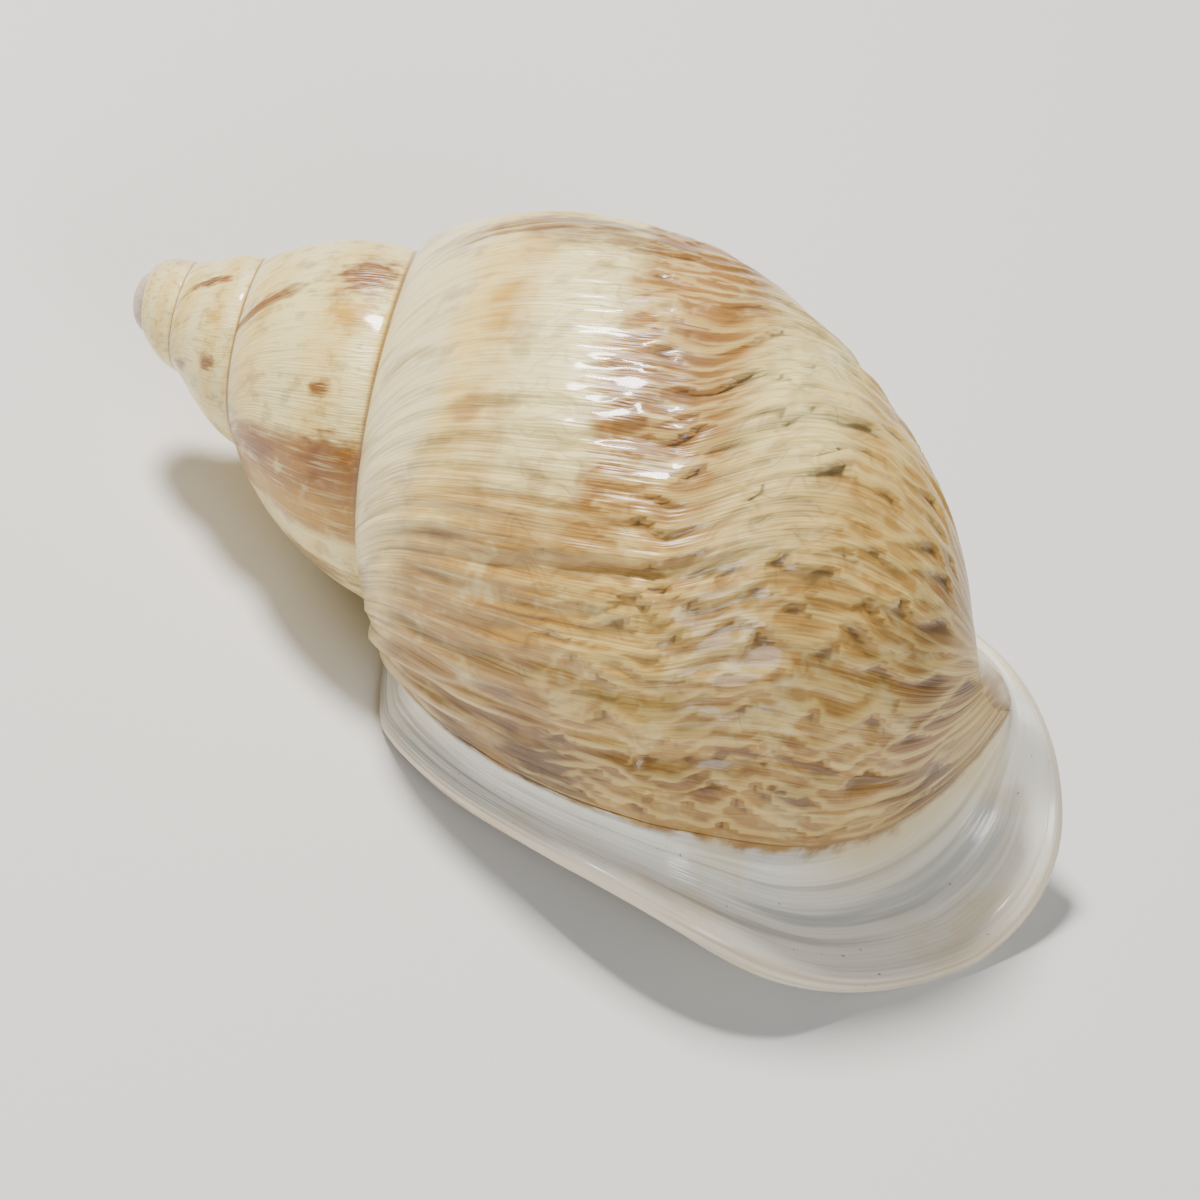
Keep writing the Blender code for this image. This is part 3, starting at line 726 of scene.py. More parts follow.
@dataclass(frozen=True)
class Shell:
    """The whole shell as one closed mesh, fine on the last whorl and coarser up the spire."""

    coil: Coil
    relief: Relief
    lip: Lip
    hollow: Hollow
    rest: Rest
    steps_per_turn: int = 180
    side_rows: int = 24
    side_crowding: float = 0.35
    base_rows: int = 27
    fine_turns: float = 0.96
    growth_cuts: int = 2
    down_cuts: int = 1
    web: float = 1e-4
    round_reach: float = 9.0
    round_spread: float = 2.6
    round_rows: int = 5

    def base_steps(self) -> int:
        """Returns how many growth lines the base has."""
        return round(self.steps_per_turn * (1.0 - self.coil.lag_turns))

    def down_at(self, row: float) -> float:
        """Returns the place on the outline of a row of the side or of the base below it."""
        if row <= self.side_rows:
            share = row / self.side_rows
            return mix(share, share * share, self.side_crowding)
        share = (row - self.side_rows) / self.base_rows
        return 1.0 + (self.coil.base_end - 1.0) * math.sin(0.5 * math.pi * share)

    def add_lines(self, shell: bmesh.types.BMesh, columns: int, first: int, rows: int) -> None:
        """Adds a flat sheet of growth lines, with each corner's line and row noted on it.

        Args:
            shell: The mesh to add to.
            columns: How many cells wide the sheet is.
            first: Its first row.
            rows: How many cells it goes down.
        """
        line = shell.verts.layers.float["line"]
        level = shell.verts.layers.float["row"]
        made = bmesh.ops.create_grid(shell, x_segments=columns, y_segments=rows, size=0.5)
        for vert in made["verts"]:
            vert[line] = round((vert.co.x + 0.5) * columns)
            vert[level] = first + round((vert.co.y + 0.5) * rows)

    def refine(self, shell: bmesh.types.BMesh) -> None:
        """Splits the last whorl into finer growth lines and rows."""
        line = shell.verts.layers.float["line"]
        level = shell.verts.layers.float["row"]
        fine = round(self.fine_turns * self.steps_per_turn)
        last = self.side_rows + self.base_rows
        across = []
        for edge in shell.edges:
            first, second = edge.verts
            if abs(first[level] - second[level]) < self.web and first[level] < last - self.web:
                reach = fine
                if abs(first[level] - self.side_rows) < self.web:
                    reach = fine + self.base_steps()
                if max(first[line], second[line]) < reach + self.web:
                    across.append(edge)
        bmesh.ops.subdivide_edges(shell, edges=across, cuts=self.growth_cuts)
        down = []
        for edge in shell.edges:
            first, second = edge.verts
            if abs(first[line] - second[line]) < self.web and first[line] < fine + self.web:
                down.append(edge)
        bmesh.ops.subdivide_edges(shell, edges=down, cuts=self.down_cuts)

    def shape(self, shell: bmesh.types.BMesh) -> None:
        """Moves every corner of the growth lines to its place and raises the relief."""
        line = shell.verts.layers.float["line"]
        level = shell.verts.layers.float["row"]
        relief = shell.verts.layers.float["relief"]
        lobe = shell.verts.layers.float["lobe"]
        wide = 1.0 - self.coil.lag_turns
        for vert in shell.verts:
            turns = vert[line] / self.steps_per_turn
            down = self.down_at(vert[level])
            turn = self.coil.growth_turn(turns, down)
            fade = self.relief.fade(turns, down, wide)
            height, vert[relief], vert[lobe] = self.relief.surface(turns, down)
            vert.co = self.coil.point(turn, down) + self.coil.outward(turn, down) * height * fade

    def map_outside(self, shell: bmesh.types.BMesh) -> None:
        """Writes the growth line and the place down it into the growth map."""
        line = shell.verts.layers.float["line"]
        level = shell.verts.layers.float["row"]
        growth = shell.loops.layers.uv["growth"]
        for face in shell.faces:
            for loop in face.loops:
                down = self.down_at(loop.vert[level])
                turns = loop.vert[line] / self.steps_per_turn
                loop[growth].uv = (turns, down)

    def lip_places(self) -> list[LipPlace]:
        """Returns the lines round the mouth: the outer lip, the pillar and the inner lip."""
        step = 1.0 / (self.down_cuts + 1)
        side = [self.down_at(i * step) for i in range(round(self.side_rows / step) + 1)]
        base = []
        for i in range(1, round(self.base_rows / step) + 1):
            base.append(self.down_at(self.side_rows + i * step))
        places = [LipPlace(down) for down in side + base]
        steps = self.base_steps()
        end = self.coil.base_end
        places += [LipPlace(end, self.coil.base_share(i / steps, end)) for i in range(1, steps)]
        places += [LipPlace(down, None, True) for down in reversed(base)]
        return places

    def add_mouth(self, shell: bmesh.types.BMesh) -> None:
        """Adds the lip and the hollow as one sheet wound round the mouth."""
        places = self.lip_places()
        count = len(places)
        rings = self.hollow.rings(places)
        lip_rows = self.lip.rows()
        rows = lip_rows + len(rings)
        around = [0.0]
        for index in range(1, count + 1):
            step = self.lip.neck(places[index % count]) - self.lip.neck(places[index - 1])
            around.append(around[-1] + step.length)
        made = bmesh.ops.create_grid(shell, x_segments=count, y_segments=rows, size=0.5)
        spots = {}
        for vert in made["verts"]:
            column = round((vert.co.x + 0.5) * count)
            row = round((vert.co.y + 0.5) * rows)
            spots[vert] = (column, row)
        lip_map = shell.loops.layers.uv["lip"]
        growth = shell.loops.layers.uv["growth"]
        for face in {face for vert in made["verts"] for face in vert.link_faces}:
            for loop in face.loops:
                column, row = spots[loop.vert]
                place = places[column % count]
                loop[lip_map].uv = (around[column], row / lip_rows)
                loop[growth].uv = (1.0 if place.inner else 0.0, place.down)
        sheet = []
        for row in range(lip_rows + 1):
            sheet.append([self.lip.point(places, i, row, around[i]) for i in range(count)])
        foot = next(i for i, place in enumerate(places) if place.pillar is not None)
        self.round_lip(sheet, around, foot)
        base = next(i for i, place in enumerate(places) if place.down > 1.0)
        self.round_lip(sheet, around, base)
        sheet += rings
        for vert, (column, row) in spots.items():
            vert.co = sheet[row][column % count]

    def round_lip(self, sheet: list[list[Vector]], around: list[float], turn: int) -> None:
        """Rounds the lip where its course turns, as at the foot of the pillar.

        Args:
            sheet: The lip's points, row by row. They are changed in place.
            around: Length round the mouth of each column.
            turn: The column where it turns.
        """
        reach = 2.0 * self.round_reach
        columns = range(len(around) - 1)
        near = [i for i in columns if abs(around[i] - around[turn]) < reach]
        for row, points in enumerate(sheet):
            before = [point.copy() for point in points]
            for column in near:
                away = abs(around[column] - around[turn]) / self.round_reach
                if away >= 1.0 or row == 0:
                    continue
                spread = self.round_spread * (1.0 - away * away) ** 2
                spread *= min(row / self.round_rows, 1.0)
                total = 0.0
                middle = Vector((0.0, 0.0, 0.0))
                for other in near[1:-1]:
                    far = (around[other] - around[column]) / max(spread, SMALL)
                    share = (around[other + 1] - around[other - 1]) * math.exp(-0.5 * far * far)
                    middle += before[other] * share
                    total += share
                if total > SMALL:
                    points[column] = middle / total

    def build(self) -> bpy.types.Object:
        """Builds the shell and lays it down in the part's frame.

        Returns:
            The finished object, smooth and in metres.
        """
        shell = bmesh.new()
        for name in ("line", "row", "relief", "lobe"):
            shell.verts.layers.float.new(name)
        shell.loops.layers.uv.new("growth")
        shell.loops.layers.uv.new("lip")
        turns = self.coil.apex_turn + 1.0 - self.coil.mouth_turn
        self.add_lines(shell, math.ceil(turns * self.steps_per_turn), 0, self.side_rows)
        self.add_lines(shell, self.base_steps(), self.side_rows, self.base_rows)
        self.refine(shell)
        self.map_outside(shell)
        self.shape(shell)
        self.add_mouth(shell)
        bmesh.ops.remove_doubles(shell, verts=shell.verts, dist=self.web)
        bmesh.ops.dissolve_degenerate(shell, edges=shell.edges, dist=self.web)
        bmesh.ops.transform(shell, matrix=self.rest.matrix(), verts=shell.verts)
        for vert in shell.verts:
            vert.co.z = max(vert.co.z, 0.0)
        bmesh.ops.recalc_face_normals(shell, faces=shell.faces)
        bmesh.ops.scale(shell, vec=(MM, MM, MM), verts=shell.verts)
        mesh = bpy.data.meshes.new("snail_shell")
        shell.to_mesh(mesh)
        shell.free()
        mesh.shade_smooth()
        made = bpy.data.objects.new("snail_shell", mesh)
        bpy.context.scene.collection.objects.link(made)
        return made


def paint(red: int, green: int, blue: int) -> tuple[float, float, float, float]:
    """Returns a colour given as screen values from 0 to 255, as the shaders want it."""
    screen = [part / 255.0 for part in (red, green, blue)]
    linear = []
    for part in screen:
        linear.append(((part + 0.055) / 1.055) ** 2.4 if part > 0.04045 else part / 12.92)
    return (*linear, 1.0)


@dataclass(frozen=True)
class Grain:
    """A cloudy noise: how often it repeats along each coordinate, its detail and its seed."""

    scale: tuple[float, float]
    detail: float
    seed: float


class Graph:
    """Builds a node tree, one node at a time. An input may be a socket or a plain value."""

    seed_shift = (17.3, 5.9)

    def __init__(self, tree: bpy.types.NodeTree) -> None:
        """Takes the tree to build in."""
        self.tree = tree

    def add(self, kind: str, inputs: dict | None = None, **settings) -> bpy.types.Node:
        """Adds a node.

        Args:
            kind: The node's type.
            inputs: What goes into its sockets, by name or by number.
            **settings: The node's own settings.

        Returns:
            The node.
        """
        node = self.tree.nodes.new(kind)
        for name, value in settings.items():
            setattr(node, name, value)
        self.fill(node, inputs or {})
        return node

    def fill(self, node: bpy.types.Node, inputs: dict) -> None:
        """Links or sets a node's sockets, by name or by number."""
        for name, value in inputs.items():
            if isinstance(value, bpy.types.NodeSocket):
                self.tree.links.new(value, node.inputs[name])
            else:
                node.inputs[name].default_value = value

    def sum(self, operation: str, first, second=0.0, third=0.0) -> bpy.types.NodeSocket:
        """Returns the result of a Math node."""
        node = self.add("ShaderNodeMath", {0: first, 1: second, 2: third}, operation=operation)
        return node.outputs[0]

    def step(self, value, low, high, top=1.0) -> bpy.types.NodeSocket:
        """Returns a smooth step from 0 at low to top at high."""
        inputs = {"Value": value, "From Min": low, "From Max": high, "To Max": top}
        node = self.add("ShaderNodeMapRange", inputs, interpolation_type="SMOOTHSTEP")
        return node.outputs["Result"]

    def between(self, value, low: float, high: float, soft: float) -> bpy.types.NodeSocket:
        """Returns 1 from low to high and 0 outside, over a soft edge."""
        rise = self.step(value, low - soft, low + soft)
        fall = self.step(value, high + soft, high - soft)
        return self.sum("MULTIPLY", rise, fall)

    def blend(self, share, first, second) -> bpy.types.NodeSocket:
        """Returns the mix of two colours."""
        inputs = {0: share, 6: first, 7: second}
        return self.add("ShaderNodeMix", inputs, data_type="RGBA").outputs[2]

    def pick(self, share, first, second) -> bpy.types.NodeSocket:
        """Returns the mix of two values."""
        inputs = {0: share, 2: first, 3: second}
        return self.add("ShaderNodeMix", inputs, data_type="FLOAT").outputs[0]

    def place(self, across, down, seed: float = 0.0) -> bpy.types.NodeSocket:
        """Returns a point made of two coordinates and a seed."""
        return self.add("ShaderNodeCombineXYZ", {"X": across, "Y": down, "Z": seed}).outputs[0]

    def grain(self, place, cloud: Grain) -> bpy.types.NodeSocket:
        """Returns cloudy noise from 0 to 1, stretched by its scale along each coordinate."""
        shift = (cloud.seed * self.seed_shift[0], cloud.seed * self.seed_shift[1], 0.0)
        moves = {0: place, 1: (*cloud.scale, 1.0), 2: shift}
        moved = self.add("ShaderNodeVectorMath", moves, operation="MULTIPLY_ADD").outputs[0]
        inputs = {"Vector": moved, "Scale": 1.0, "Detail": cloud.detail, "Roughness": 0.55}
        return self.add("ShaderNodeTexNoise", inputs, noise_dimensions="2D").outputs["Fac"]

    def sway(self, place, cloud: Grain, reach: float = 1.0) -> bpy.types.NodeSocket:
        """Returns cloudy noise that swings about zero, over a reach from lowest to highest."""
        return self.sum("MULTIPLY_ADD", self.grain(place, cloud), reach, -0.5 * reach)

    def ramp(self, value, stops: tuple) -> bpy.types.NodeSocket:
        """Returns the colour of a ramp with stops of (place, colour)."""
        node = self.add("ShaderNodeValToRGB", {"Fac": value})
        ramp = node.color_ramp
        ramp.interpolation = "EASE"
        while len(ramp.elements) < len(stops):
            ramp.elements.new(0.5)
        for element, (place, colour) in zip(ramp.elements, stops):
            element.position = place
            element.color = colour
        return node.outputs["Color"]


@dataclass(frozen=True)
class Patch:
    """A coloured patch on the outside, at a growth line and a place down it."""

    line: float
    down: float
    length: float
    width: float
    colour: tuple[float, float, float, float]
    strength: float = 0.8


IVORY = paint(254, 236, 164)
CREAM = paint(246, 214, 126)
MILK = paint(246, 230, 178)
SAND = paint(216, 176, 94)
TAN = paint(190, 145, 70)
STRAW = paint(232, 196, 118)
ROSE = paint(170, 122, 64)
HAZEL = paint(122, 78, 26)
CARAMEL = paint(160, 98, 2)
UMBER = paint(76, 41, 10)
RUST = paint(126, 66, 0)
HONEY = paint(204, 150, 14)
MAUVE = paint(118, 78, 44)
NUB_GREY = paint(206, 186, 172)
ENAMEL = paint(252, 248, 234)
ENAMEL_SHADE = paint(202, 202, 194)
ENAMEL_WARM = paint(228, 200, 128)
RIM_PINK = paint(222, 190, 140)
THROAT = paint(210, 184, 146)
SPECK = paint(96, 88, 78)


@dataclass(frozen=True)
class ShellFinish:
    """Glossy shell: cream and tan bands, browner and ropy near the mouth, with a white lip."""

    body_bands: tuple = (
        (0.00, MILK),
        (0.09, MILK),
        (0.15, CREAM),
        (0.20, STRAW),
        (0.26, IVORY),
        (0.35, IVORY),
        (0.40, ROSE),
        (0.55, ROSE),
        (0.63, IVORY),
        (0.71, IVORY),
        (0.78, SAND),
        (0.98, TAN),
    )
    mouth_bands: tuple = (
        (0.00, MILK),
        (0.06, CREAM),
        (0.14, TAN),
        (0.34, TAN),
        (0.50, SAND),
        (0.70, TAN),
        (0.86, TAN),
        (0.95, HAZEL),
        (1.00, SAND),
    )
    spire_bands: tuple = (
        (0.00, MILK),
        (0.06, CREAM),
        (0.20, IVORY),
        (0.34, CREAM),
        (0.44, IVORY),
        (0.50, CREAM),
    )
    patches: tuple[Patch, ...] = (
        Patch(0.016, 0.72, 0.022, 0.16, UMBER, 0.80),
        Patch(0.004, 0.38, 0.014, 0.14, UMBER, 0.70),
        Patch(0.030, 1.05, 0.010, 0.30, HAZEL, 0.80),
        Patch(0.031, 1.52, 0.008, 0.10, UMBER, 0.70),
        Patch(0.028, 1.88, 0.014, 0.10, MAUVE, 0.70),
        Patch(0.150, 0.64, 0.016, 0.26, TAN, 0.60),
        Patch(0.256, 0.90, 0.018, 0.16, RUST, 0.55),
        Patch(0.224, 1.02, 0.050, 0.20, MAUVE, 0.55),
        Patch(0.372, 0.45, 0.016, 0.36, HAZEL, 0.85),
        Patch(0.352, 0.70, 0.020, 0.40, HAZEL, 0.55),
        Patch(0.345, 0.85, 0.010, 0.30, HAZEL, 0.60),
        Patch(0.280, 0.36, 0.020, 0.06, HONEY, 0.60),
        Patch(0.205, 0.34, 0.012, 0.05, ROSE, 0.55),
        Patch(0.520, 0.50, 0.014, 0.50, CARAMEL, 0.55),
        Patch(0.560, 1.00, 0.030, 0.26, IVORY, 0.70),
        Patch(0.640, 0.35, 0.020, 0.20, RUST, 0.50),
        Patch(0.700, 0.80, 0.012, 0.60, HAZEL, 0.60),
        Patch(0.770, 0.45, 0.030, 0.22, HONEY, 0.60),
        Patch(0.840, 0.70, 0.014, 0.30, RUST, 0.60),
        Patch(1.440, 0.60, 0.020, 0.30, CARAMEL, 0.60),
        Patch(1.560, 0.30, 0.024, 0.22, RUST, 0.60),
        Patch(1.700, 0.70, 0.030, 0.20, HONEY, 0.70),
        Patch(1.820, 0.40, 0.014, 0.34, RUST, 0.60),
        Patch(1.276, 0.16, 0.012, 0.26, RUST, 0.90),
        Patch(1.290, 0.78, 0.034, 0.22, RUST, 0.95),
        Patch(1.236, 0.76, 0.020, 0.16, HONEY, 0.80),
        Patch(1.160, 0.68, 0.010, 0.07, RUST, 0.90),
        Patch(1.086, 0.28, 0.018, 0.14, RUST, 0.75),
        Patch(1.098, 0.80, 0.028, 0.20, RUST, 0.85),
        Patch(1.040, 0.60, 0.020, 0.55, HONEY, 0.80),
        Patch(0.965, 0.60, 0.020, 0.34, HAZEL, 0.80),
        Patch(2.275, 0.42, 0.014, 0.36, RUST, 0.95),
        Patch(2.105, 0.66, 0.016, 0.12, RUST, 0.90),
        Patch(2.075, 0.20, 0.018, 0.12, RUST, 0.80),
        Patch(2.188, 0.62, 0.014, 0.12, HONEY, 0.60),
    )
    mouth_reach: tuple[float, float] = (0.10, 0.21)
    edge_reach: tuple[float, float] = (0.075, 0.0)
    edge_share: float = 0.45
    spire_from: tuple[float, float] = (0.62, 0.86)
    caramel_lines: tuple[float, float] = (1.02, 1.112)
    nub_from: tuple[float, float] = (3.25, 3.5)
    # The groove and crack shares darken the grooves with their brown and painted shade; the ridge
    # share lightens the crests as a painted highlight.
    groove_brown_and_shade_share: float = 0.62
    ridge_highlight_share: float = 0.46
    lobe_share: float = 0.25
    crack_brown_and_shade_share: float = 0.26
    roughness: tuple[float, float] = (0.26, 0.46)
    lip_roughness: float = 0.2
    coat: float = 0.40
    coat_roughness: float = 0.10
    fine_bump: float = 0.30
    fine_bump_height: float = 0.0004
    patch_edge: float = 1.35
    patch_core: float = 0.35
    patch_ragged: float = 1.5
    drift: Grain = Grain((16.0, 4.0), 3.0, 0.0)
    blocks: Grain = Grain((60.0, 1.2), 2.0, 4.0)
    clouds: Grain = Grain((42.0, 7.0), 3.0, 9.0)
    ragged: Grain = Grain((130.0, 9.0), 2.0, 2.0)
    streaks: Grain = Grain((240.0, 2.6), 3.0, 6.0)
    threads: Grain = Grain((520.0, 5.0), 1.0, 11.0)
    worn: Grain = Grain((90.0, 8.0), 2.0, 8.0)
    crack_bend: Grain = Grain((40.0, 8.0), 1.0, 13.0)
    crack_cells: tuple[float, float, float] = (95.0, 4.6, 1.0)
    lip_bands: Grain = Grain((0.035, 17.0), 3.0, 1.0)
    lip_cloud: Grain = Grain((0.12, 3.0), 4.0, 3.0)
    lip_specks: Grain = Grain((1.6, 34.0), 2.0, 7.0)
    lip_rings: Grain = Grain((0.08, 60.0), 1.0, 12.0)
    lip_edge: Grain = Grain((0.5, 9.0), 3.0, 5.0)

    def patch_group(self) -> bpy.types.NodeTree:
        """Returns the node group that draws the mask of one soft patch."""
        group = bpy.data.node_groups.new("soft_patch", "ShaderNodeTree")
        inputs = {"Place": "Vector", "Scale": "Vector", "Shift": "Vector"}
        inputs.update({"Edge": "Float", "Core": "Float", "Strength": "Float"})
        for name, kind in inputs.items():
            group.interface.new_socket(name, in_out="INPUT", socket_type="NodeSocket" + kind)
        group.interface.new_socket("Mask", in_out="OUTPUT", socket_type="NodeSocketFloat")
        graph = Graph(group)
        given = graph.add("NodeGroupInput").outputs
        spot = {0: given["Place"], 1: given["Scale"], 2: given["Shift"]}
        away = graph.add("ShaderNodeVectorMath", spot, operation="MULTIPLY_ADD").outputs[0]
        far = graph.add("ShaderNodeVectorMath", {0: away}, operation="LENGTH").outputs["Value"]
        mask = graph.step(far, given["Edge"], given["Core"], given["Strength"])
        graph.add("NodeGroupOutput", {"Mask": mask})
        return group

    def cracks(self, graph: Graph, line, down) -> bpy.types.NodeSocket:
        """Returns the thin grooves between the small lobes, 1 in a groove and 0 elsewhere."""
        bent = graph.sway(graph.place(line, down), self.crack_bend, 0.035)
        moved = graph.place(graph.sum("ADD", line, bent), graph.sum("ADD", down, bent))
        scale = {0: moved, 1: self.crack_cells}
        scaled = graph.add("ShaderNodeVectorMath", scale, operation="MULTIPLY").outputs[0]
        settings = {"feature": "DISTANCE_TO_EDGE", "voronoi_dimensions": "2D"}
        cells = graph.add("ShaderNodeTexVoronoi", **settings)
        graph.tree.links.new(scaled, cells.inputs["Vector"])
        cells.inputs["Scale"].default_value = 1.0
        return graph.step(cells.outputs["Distance"], 0.14, 0.02)

    def outside(self, graph: Graph, line, down, relief, lobe, cracks) -> bpy.types.NodeSocket:
        """Colours the outside of the shell.

        Args:
            graph: Where the nodes go.
            line: The growth line.
            down: The place down it.
            relief: How high the wrinkles stand there, from -1 to 1.
            lobe: How strong the lobes are there.
            cracks: How deep the thin grooves are there, from 0 to 1.

        Returns:
            The colour.
        """
        place = graph.place(line, down)
        drift = graph.sway(place, self.drift)
        blocks = graph.sway(place, self.blocks)
        wander = graph.sum("MULTIPLY_ADD", drift, 0.16, graph.sum("MULTIPLY", blocks, 0.12))
        half_down = graph.sum("MULTIPLY", graph.sum("ADD", down, wander), 0.5)
        body = graph.ramp(half_down, self.body_bands)
        mouth = graph.ramp(half_down, self.mouth_bands)
        spire = graph.ramp(half_down, self.spire_bands)
        wandered = graph.sum("MULTIPLY_ADD", drift, 0.09, line)
        to_mouth = graph.step(wandered, self.mouth_reach[1], self.mouth_reach[0])
        colour = graph.blend(to_mouth, body, mouth)
        colour = graph.blend(graph.step(line, *self.spire_from), colour, spire)
        blocked = graph.sum("MULTIPLY_ADD", blocks, 0.012, line)
        caramel = graph.between(blocked, *self.caramel_lines, 0.006)
        colour = graph.blend(graph.sum("MULTIPLY", caramel, 0.9), colour, CARAMEL)
        colour = graph.blend(graph.step(line, *self.nub_from), colour, NUB_GREY)
        cloud = graph.grain(place, self.clouds)
        colour = graph.blend(graph.step(cloud, 0.52, 0.70, 0.35), colour, HAZEL)
        colour = graph.blend(graph.step(cloud, 0.46, 0.30, 0.45), colour, IVORY)
        edge = graph.step(wandered, *self.edge_reach, self.edge_share)
        colour = graph.blend(edge, colour, HAZEL)
        colour = self.patched(graph, place, colour)
        streaks = graph.grain(place, self.streaks)
        dark = graph.step(streaks, 0.54, 0.72, graph.sum("MULTIPLY_ADD", to_mouth, 0.36, 0.26))
        colour = graph.blend(dark, colour, HAZEL)
        colour = graph.blend(graph.step(streaks, 0.46, 0.28, 0.35), colour, IVORY)
        # Painted shade, together with the grooves' own brown: hazel along the thin grooves between
        # the lobes, which are drawn in the colour only.
        thin = graph.sum("MULTIPLY", cracks, graph.step(line, 0.75, 0.35, self.crack_brown_and_shade_share))
        colour = graph.blend(thin, colour, HAZEL)
        colour = graph.blend(graph.step(lobe, 0.25, 0.9, self.lobe_share), colour, TAN)
        # The grooves of the relief are darkened with umber: their own brown and painted shade.
        groove = graph.step(relief, -0.25, -0.95, self.groove_brown_and_shade_share)
        colour = graph.blend(groove, colour, UMBER)
        # The crests of the relief are lightened with cream as a painted highlight.
        ridge = graph.step(relief, 0.45, 1.0, self.ridge_highlight_share)
        colour = graph.blend(ridge, colour, CREAM)
        seam = graph.sum("MULTIPLY", graph.step(down, 0.965, 0.995), graph.step(line, 0.86, 0.90))
        seam = graph.sum("MULTIPLY", seam, graph.step(down, 1.02, 1.005))
        seam = graph.sum("ADD", seam, graph.step(down, 0.012, 0.0))
        return graph.blend(graph.sum("MULTIPLY", seam, 0.75), colour, HAZEL)

    def patched(self, graph: Graph, place, colour) -> bpy.types.NodeSocket:
        """Lays every soft patch over a colour, with ragged edges.

        Args:
            graph: Where the nodes go.
            place: The growth line and the place down it, as a point.
            colour: What the patches lie on.

        Returns:
            The colour with the patches.
        """
        group = self.patch_group()
        ragged = graph.sway(place, self.ragged, self.patch_ragged)
        edge = graph.sum("SUBTRACT", self.patch_edge, ragged)
        core = graph.sum("SUBTRACT", self.patch_core, ragged)
        for patch in self.patches:
            scale = Vector((1.0 / patch.length, 1.0 / patch.width, 0.0))
            inputs = {
                "Place": place,
                "Scale": scale,
                "Shift": -scale * Vector((patch.line, patch.down, 0.0)),
                "Edge": edge,
                "Core": core,
                "Strength": patch.strength,
            }
            spot = graph.add("ShaderNodeGroup")
            spot.node_tree = group
            graph.fill(spot, inputs)
            colour = graph.blend(spot.outputs["Mask"], colour, patch.colour)
        return colour

    def lip_colour(self, graph: Graph, around, across, down) -> bpy.types.NodeSocket:
        """Colours the lip, from its neck round the rim, and the hollow.

        Args:
            graph: Where the nodes go.
            around: Length round the mouth, in millimetres.
            across: How far across the lip, 0 at the neck and 1 where the hollow starts.
            down: The place down the whorl.

        Returns:
            The colour.
        """
        place = graph.place(around, across)
        bands = graph.grain(place, self.lip_bands)
        cloud = graph.grain(place, self.lip_cloud)
        specks = graph.grain(place, self.lip_specks)
        colour = graph.blend(graph.step(bands, 0.45, 0.68), ENAMEL, ENAMEL_SHADE)
        colour = graph.blend(graph.step(cloud, 0.5, 0.7, 0.35), colour, ENAMEL_WARM)
        rim = graph.sum("MULTIPLY", graph.between(across, 0.40, 0.52, 0.05), 0.45)
        colour = graph.blend(rim, colour, RIM_PINK)
        neck = graph.step(across, 0.22, 0.04, 0.7)
        neck = graph.sum("MULTIPLY", neck, graph.step(down, 1.45, 1.75))
        colour = graph.blend(neck, colour, ENAMEL_WARM)
        colour = graph.blend(graph.step(across, 0.95, 1.2), colour, THROAT)
        return graph.blend(graph.step(specks, 0.76, 0.82, 0.6), colour, SPECK)

    def material(self) -> bpy.types.Material:
        """Builds the material.

        Returns:
            The material, which reads the shell's two maps and its relief.
        """
        made = bpy.data.materials.new("shell_surface")
        made.use_nodes = True
        graph = Graph(made.node_tree)
        growth = graph.add("ShaderNodeUVMap", uv_map="growth").outputs[0]
        lip = graph.add("ShaderNodeUVMap", uv_map="lip").outputs[0]
        line, down = graph.add("ShaderNodeSeparateXYZ", {0: growth}).outputs[:2]
        around, across = graph.add("ShaderNodeSeparateXYZ", {0: lip}).outputs[:2]
        relief = graph.add("ShaderNodeAttribute", attribute_name="relief").outputs["Fac"]
        lobe = graph.add("ShaderNodeAttribute", attribute_name="lobe").outputs["Fac"]
        grown = graph.place(line, down)
        rounded = graph.place(around, across)
        cracks = self.cracks(graph, line, down)
        cracks = graph.sum("MULTIPLY", cracks, graph.step(down, 0.25, 0.75))
        outside = self.outside(graph, line, down, relief, lobe, cracks)
        enamel = self.lip_colour(graph, around, across, down)
        frayed = graph.sum("ADD", across, graph.sway(rounded, self.lip_edge, 0.10))
        lipped = graph.step(frayed, 0.0, 0.06)
        low, high = self.roughness
        rough = graph.sum("MULTIPLY_ADD", graph.grain(grown, self.worn), high - low, low)
        threads = graph.grain(grown, self.threads)
        rings = graph.grain(rounded, self.lip_rings)
        inputs = {
            "Height": graph.pick(lipped, threads, rings),
            "Strength": self.fine_bump,
            "Distance": self.fine_bump_height,
        }
        shader = made.node_tree.nodes["Principled BSDF"]
        surface = {
            "Base Color": graph.blend(lipped, outside, enamel),
            "Roughness": graph.pick(lipped, rough, self.lip_roughness),
            "Normal": graph.add("ShaderNodeBump", inputs).outputs[0],
            "Coat Weight": self.coat,
            "Coat Roughness": self.coat_roughness,
        }
        graph.fill(shader, surface)
        return made


@dataclass(frozen=True)
class Lamp:
    """A soft round studio light."""

    name: str
    place: tuple[float, float, float]
    size: float
    power: float
    colour: tuple[float, float, float] = (1.0, 1.0, 1.0)

    def add(self, target: Vector) -> None:
        """Adds the light, turned to a target."""
        light = bpy.data.lights.new(self.name, "AREA")
        light.shape = "DISK"
        light.size = self.size
        light.energy = self.power
        light.color = self.colour
        lamp = bpy.data.objects.new(self.name, light)
        lamp.location = self.place
        lamp.rotation_euler = (target - Vector(self.place)).to_track_quat("-Z", "Y").to_euler()
        bpy.context.scene.collection.objects.link(lamp)


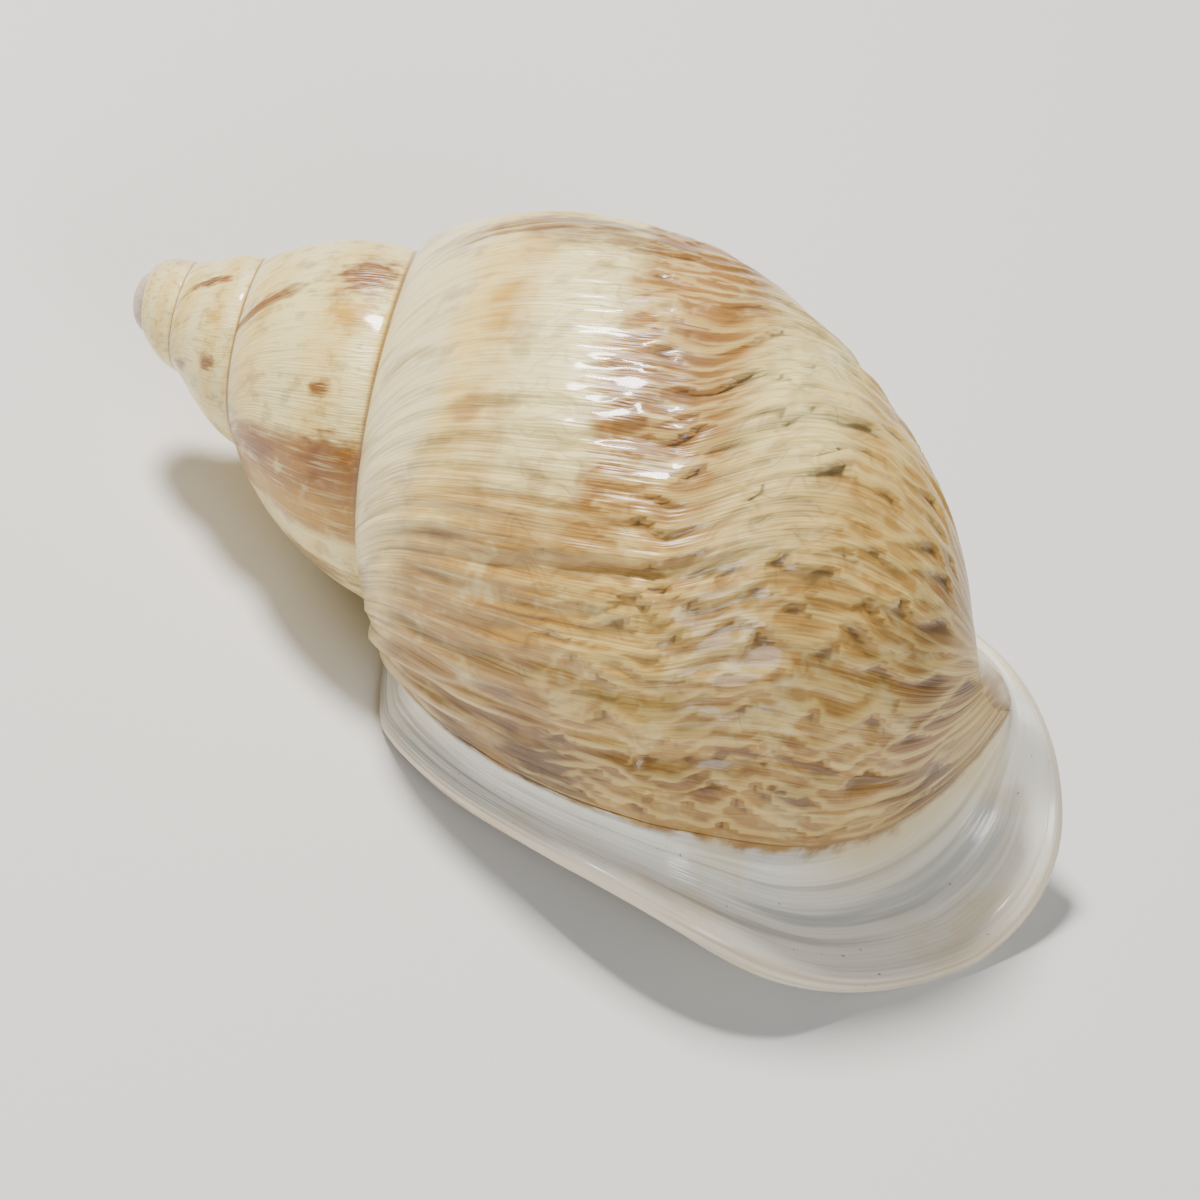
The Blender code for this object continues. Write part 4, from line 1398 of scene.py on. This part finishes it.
@dataclass(frozen=True)
class Studio:
    """The plain pale floor, the soft lights and the camera."""

    floor_size: float = 3.0
    floor_colour: tuple[float, float, float, float] = (0.80, 0.79, 0.77, 1.0)
    floor_roughness: float = 0.6
    floor_shine: float = 0.0
    sky_colour: tuple[float, float, float, float] = (0.88, 0.90, 0.92, 1.0)
    sky_strength: float = 0.25
    target: Vector = field(default_factory=lambda: Vector((0.0, -0.004, 0.015)))
    camera_place: tuple[float, float, float] = (0.03688, -0.22381, 0.24381)
    camera_turn: tuple[float, float, float] = (42.263, -14.031, 23.905)
    lens: float = 131.842
    sensor: float = 36.0
    clip_start: float = 0.01
    lamps: tuple[Lamp, ...] = (
        Lamp("key_light", (-0.26, 0.10, 0.50), 0.11, 6.0, (1.0, 0.96, 0.90)),
        Lamp("fill_light", (0.40, -0.45, 0.40), 0.3, 2.0, (0.96, 0.98, 1.0)),
    )

    def add_floor(self) -> bpy.types.Object:
        """Adds the floor that the shell rests on and returns it."""
        plane = bmesh.new()
        bmesh.ops.create_grid(plane, x_segments=1, y_segments=1, size=0.5 * self.floor_size)
        mesh = bpy.data.meshes.new("studio_floor")
        plane.to_mesh(mesh)
        plane.free()
        paint = bpy.data.materials.new("floor_paint")
        paint.use_nodes = True
        shader = paint.node_tree.nodes["Principled BSDF"]
        shader.inputs["Base Color"].default_value = self.floor_colour
        shader.inputs["Roughness"].default_value = self.floor_roughness
        shader.inputs["Specular IOR Level"].default_value = self.floor_shine
        mesh.materials.append(paint)
        floor = bpy.data.objects.new("studio_floor", mesh)
        bpy.context.scene.collection.objects.link(floor)
        return floor

    def add_camera(self) -> None:
        """Adds the camera at the photograph's viewing angle."""
        camera = bpy.data.cameras.new("view_camera")
        camera.lens = self.lens
        camera.sensor_width = self.sensor
        camera.clip_start = self.clip_start
        stand = bpy.data.objects.new("view_camera", camera)
        stand.location = self.camera_place
        stand.rotation_euler = Euler([math.radians(angle) for angle in self.camera_turn])
        bpy.context.scene.collection.objects.link(stand)
        bpy.context.scene.camera = stand

    def add_sky(self) -> None:
        """Lights the whole scene softly from all sides."""
        world = bpy.data.worlds.new("studio_sky")
        world.use_nodes = True
        sky = world.node_tree.nodes["Background"]
        sky.inputs["Color"].default_value = self.sky_colour
        sky.inputs["Strength"].default_value = self.sky_strength
        bpy.context.scene.world = world

    def build(self) -> None:
        """Adds the floor, the lights and the camera."""
        self.add_floor()
        self.add_sky()
        for lamp in self.lamps:
            lamp.add(self.target)
        self.add_camera()


def main() -> None:
    """Builds the shell and the studio, and reports each piece."""
    logging.basicConfig(level=logging.INFO, format="%(name)s: %(message)s")
    Studio().build()
    coil = Coil()
    lip = Lip(coil)
    shell = Shell(coil, Relief(), lip, Hollow(coil, lip), Rest()).build()
    shell.data.materials.append(ShellFinish().material())
    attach(shell, "root")
    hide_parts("shell")
    LOG.info("%s: %d faces", shell.name, len(shell.data.polygons))


if __name__ == "__main__":
    main()
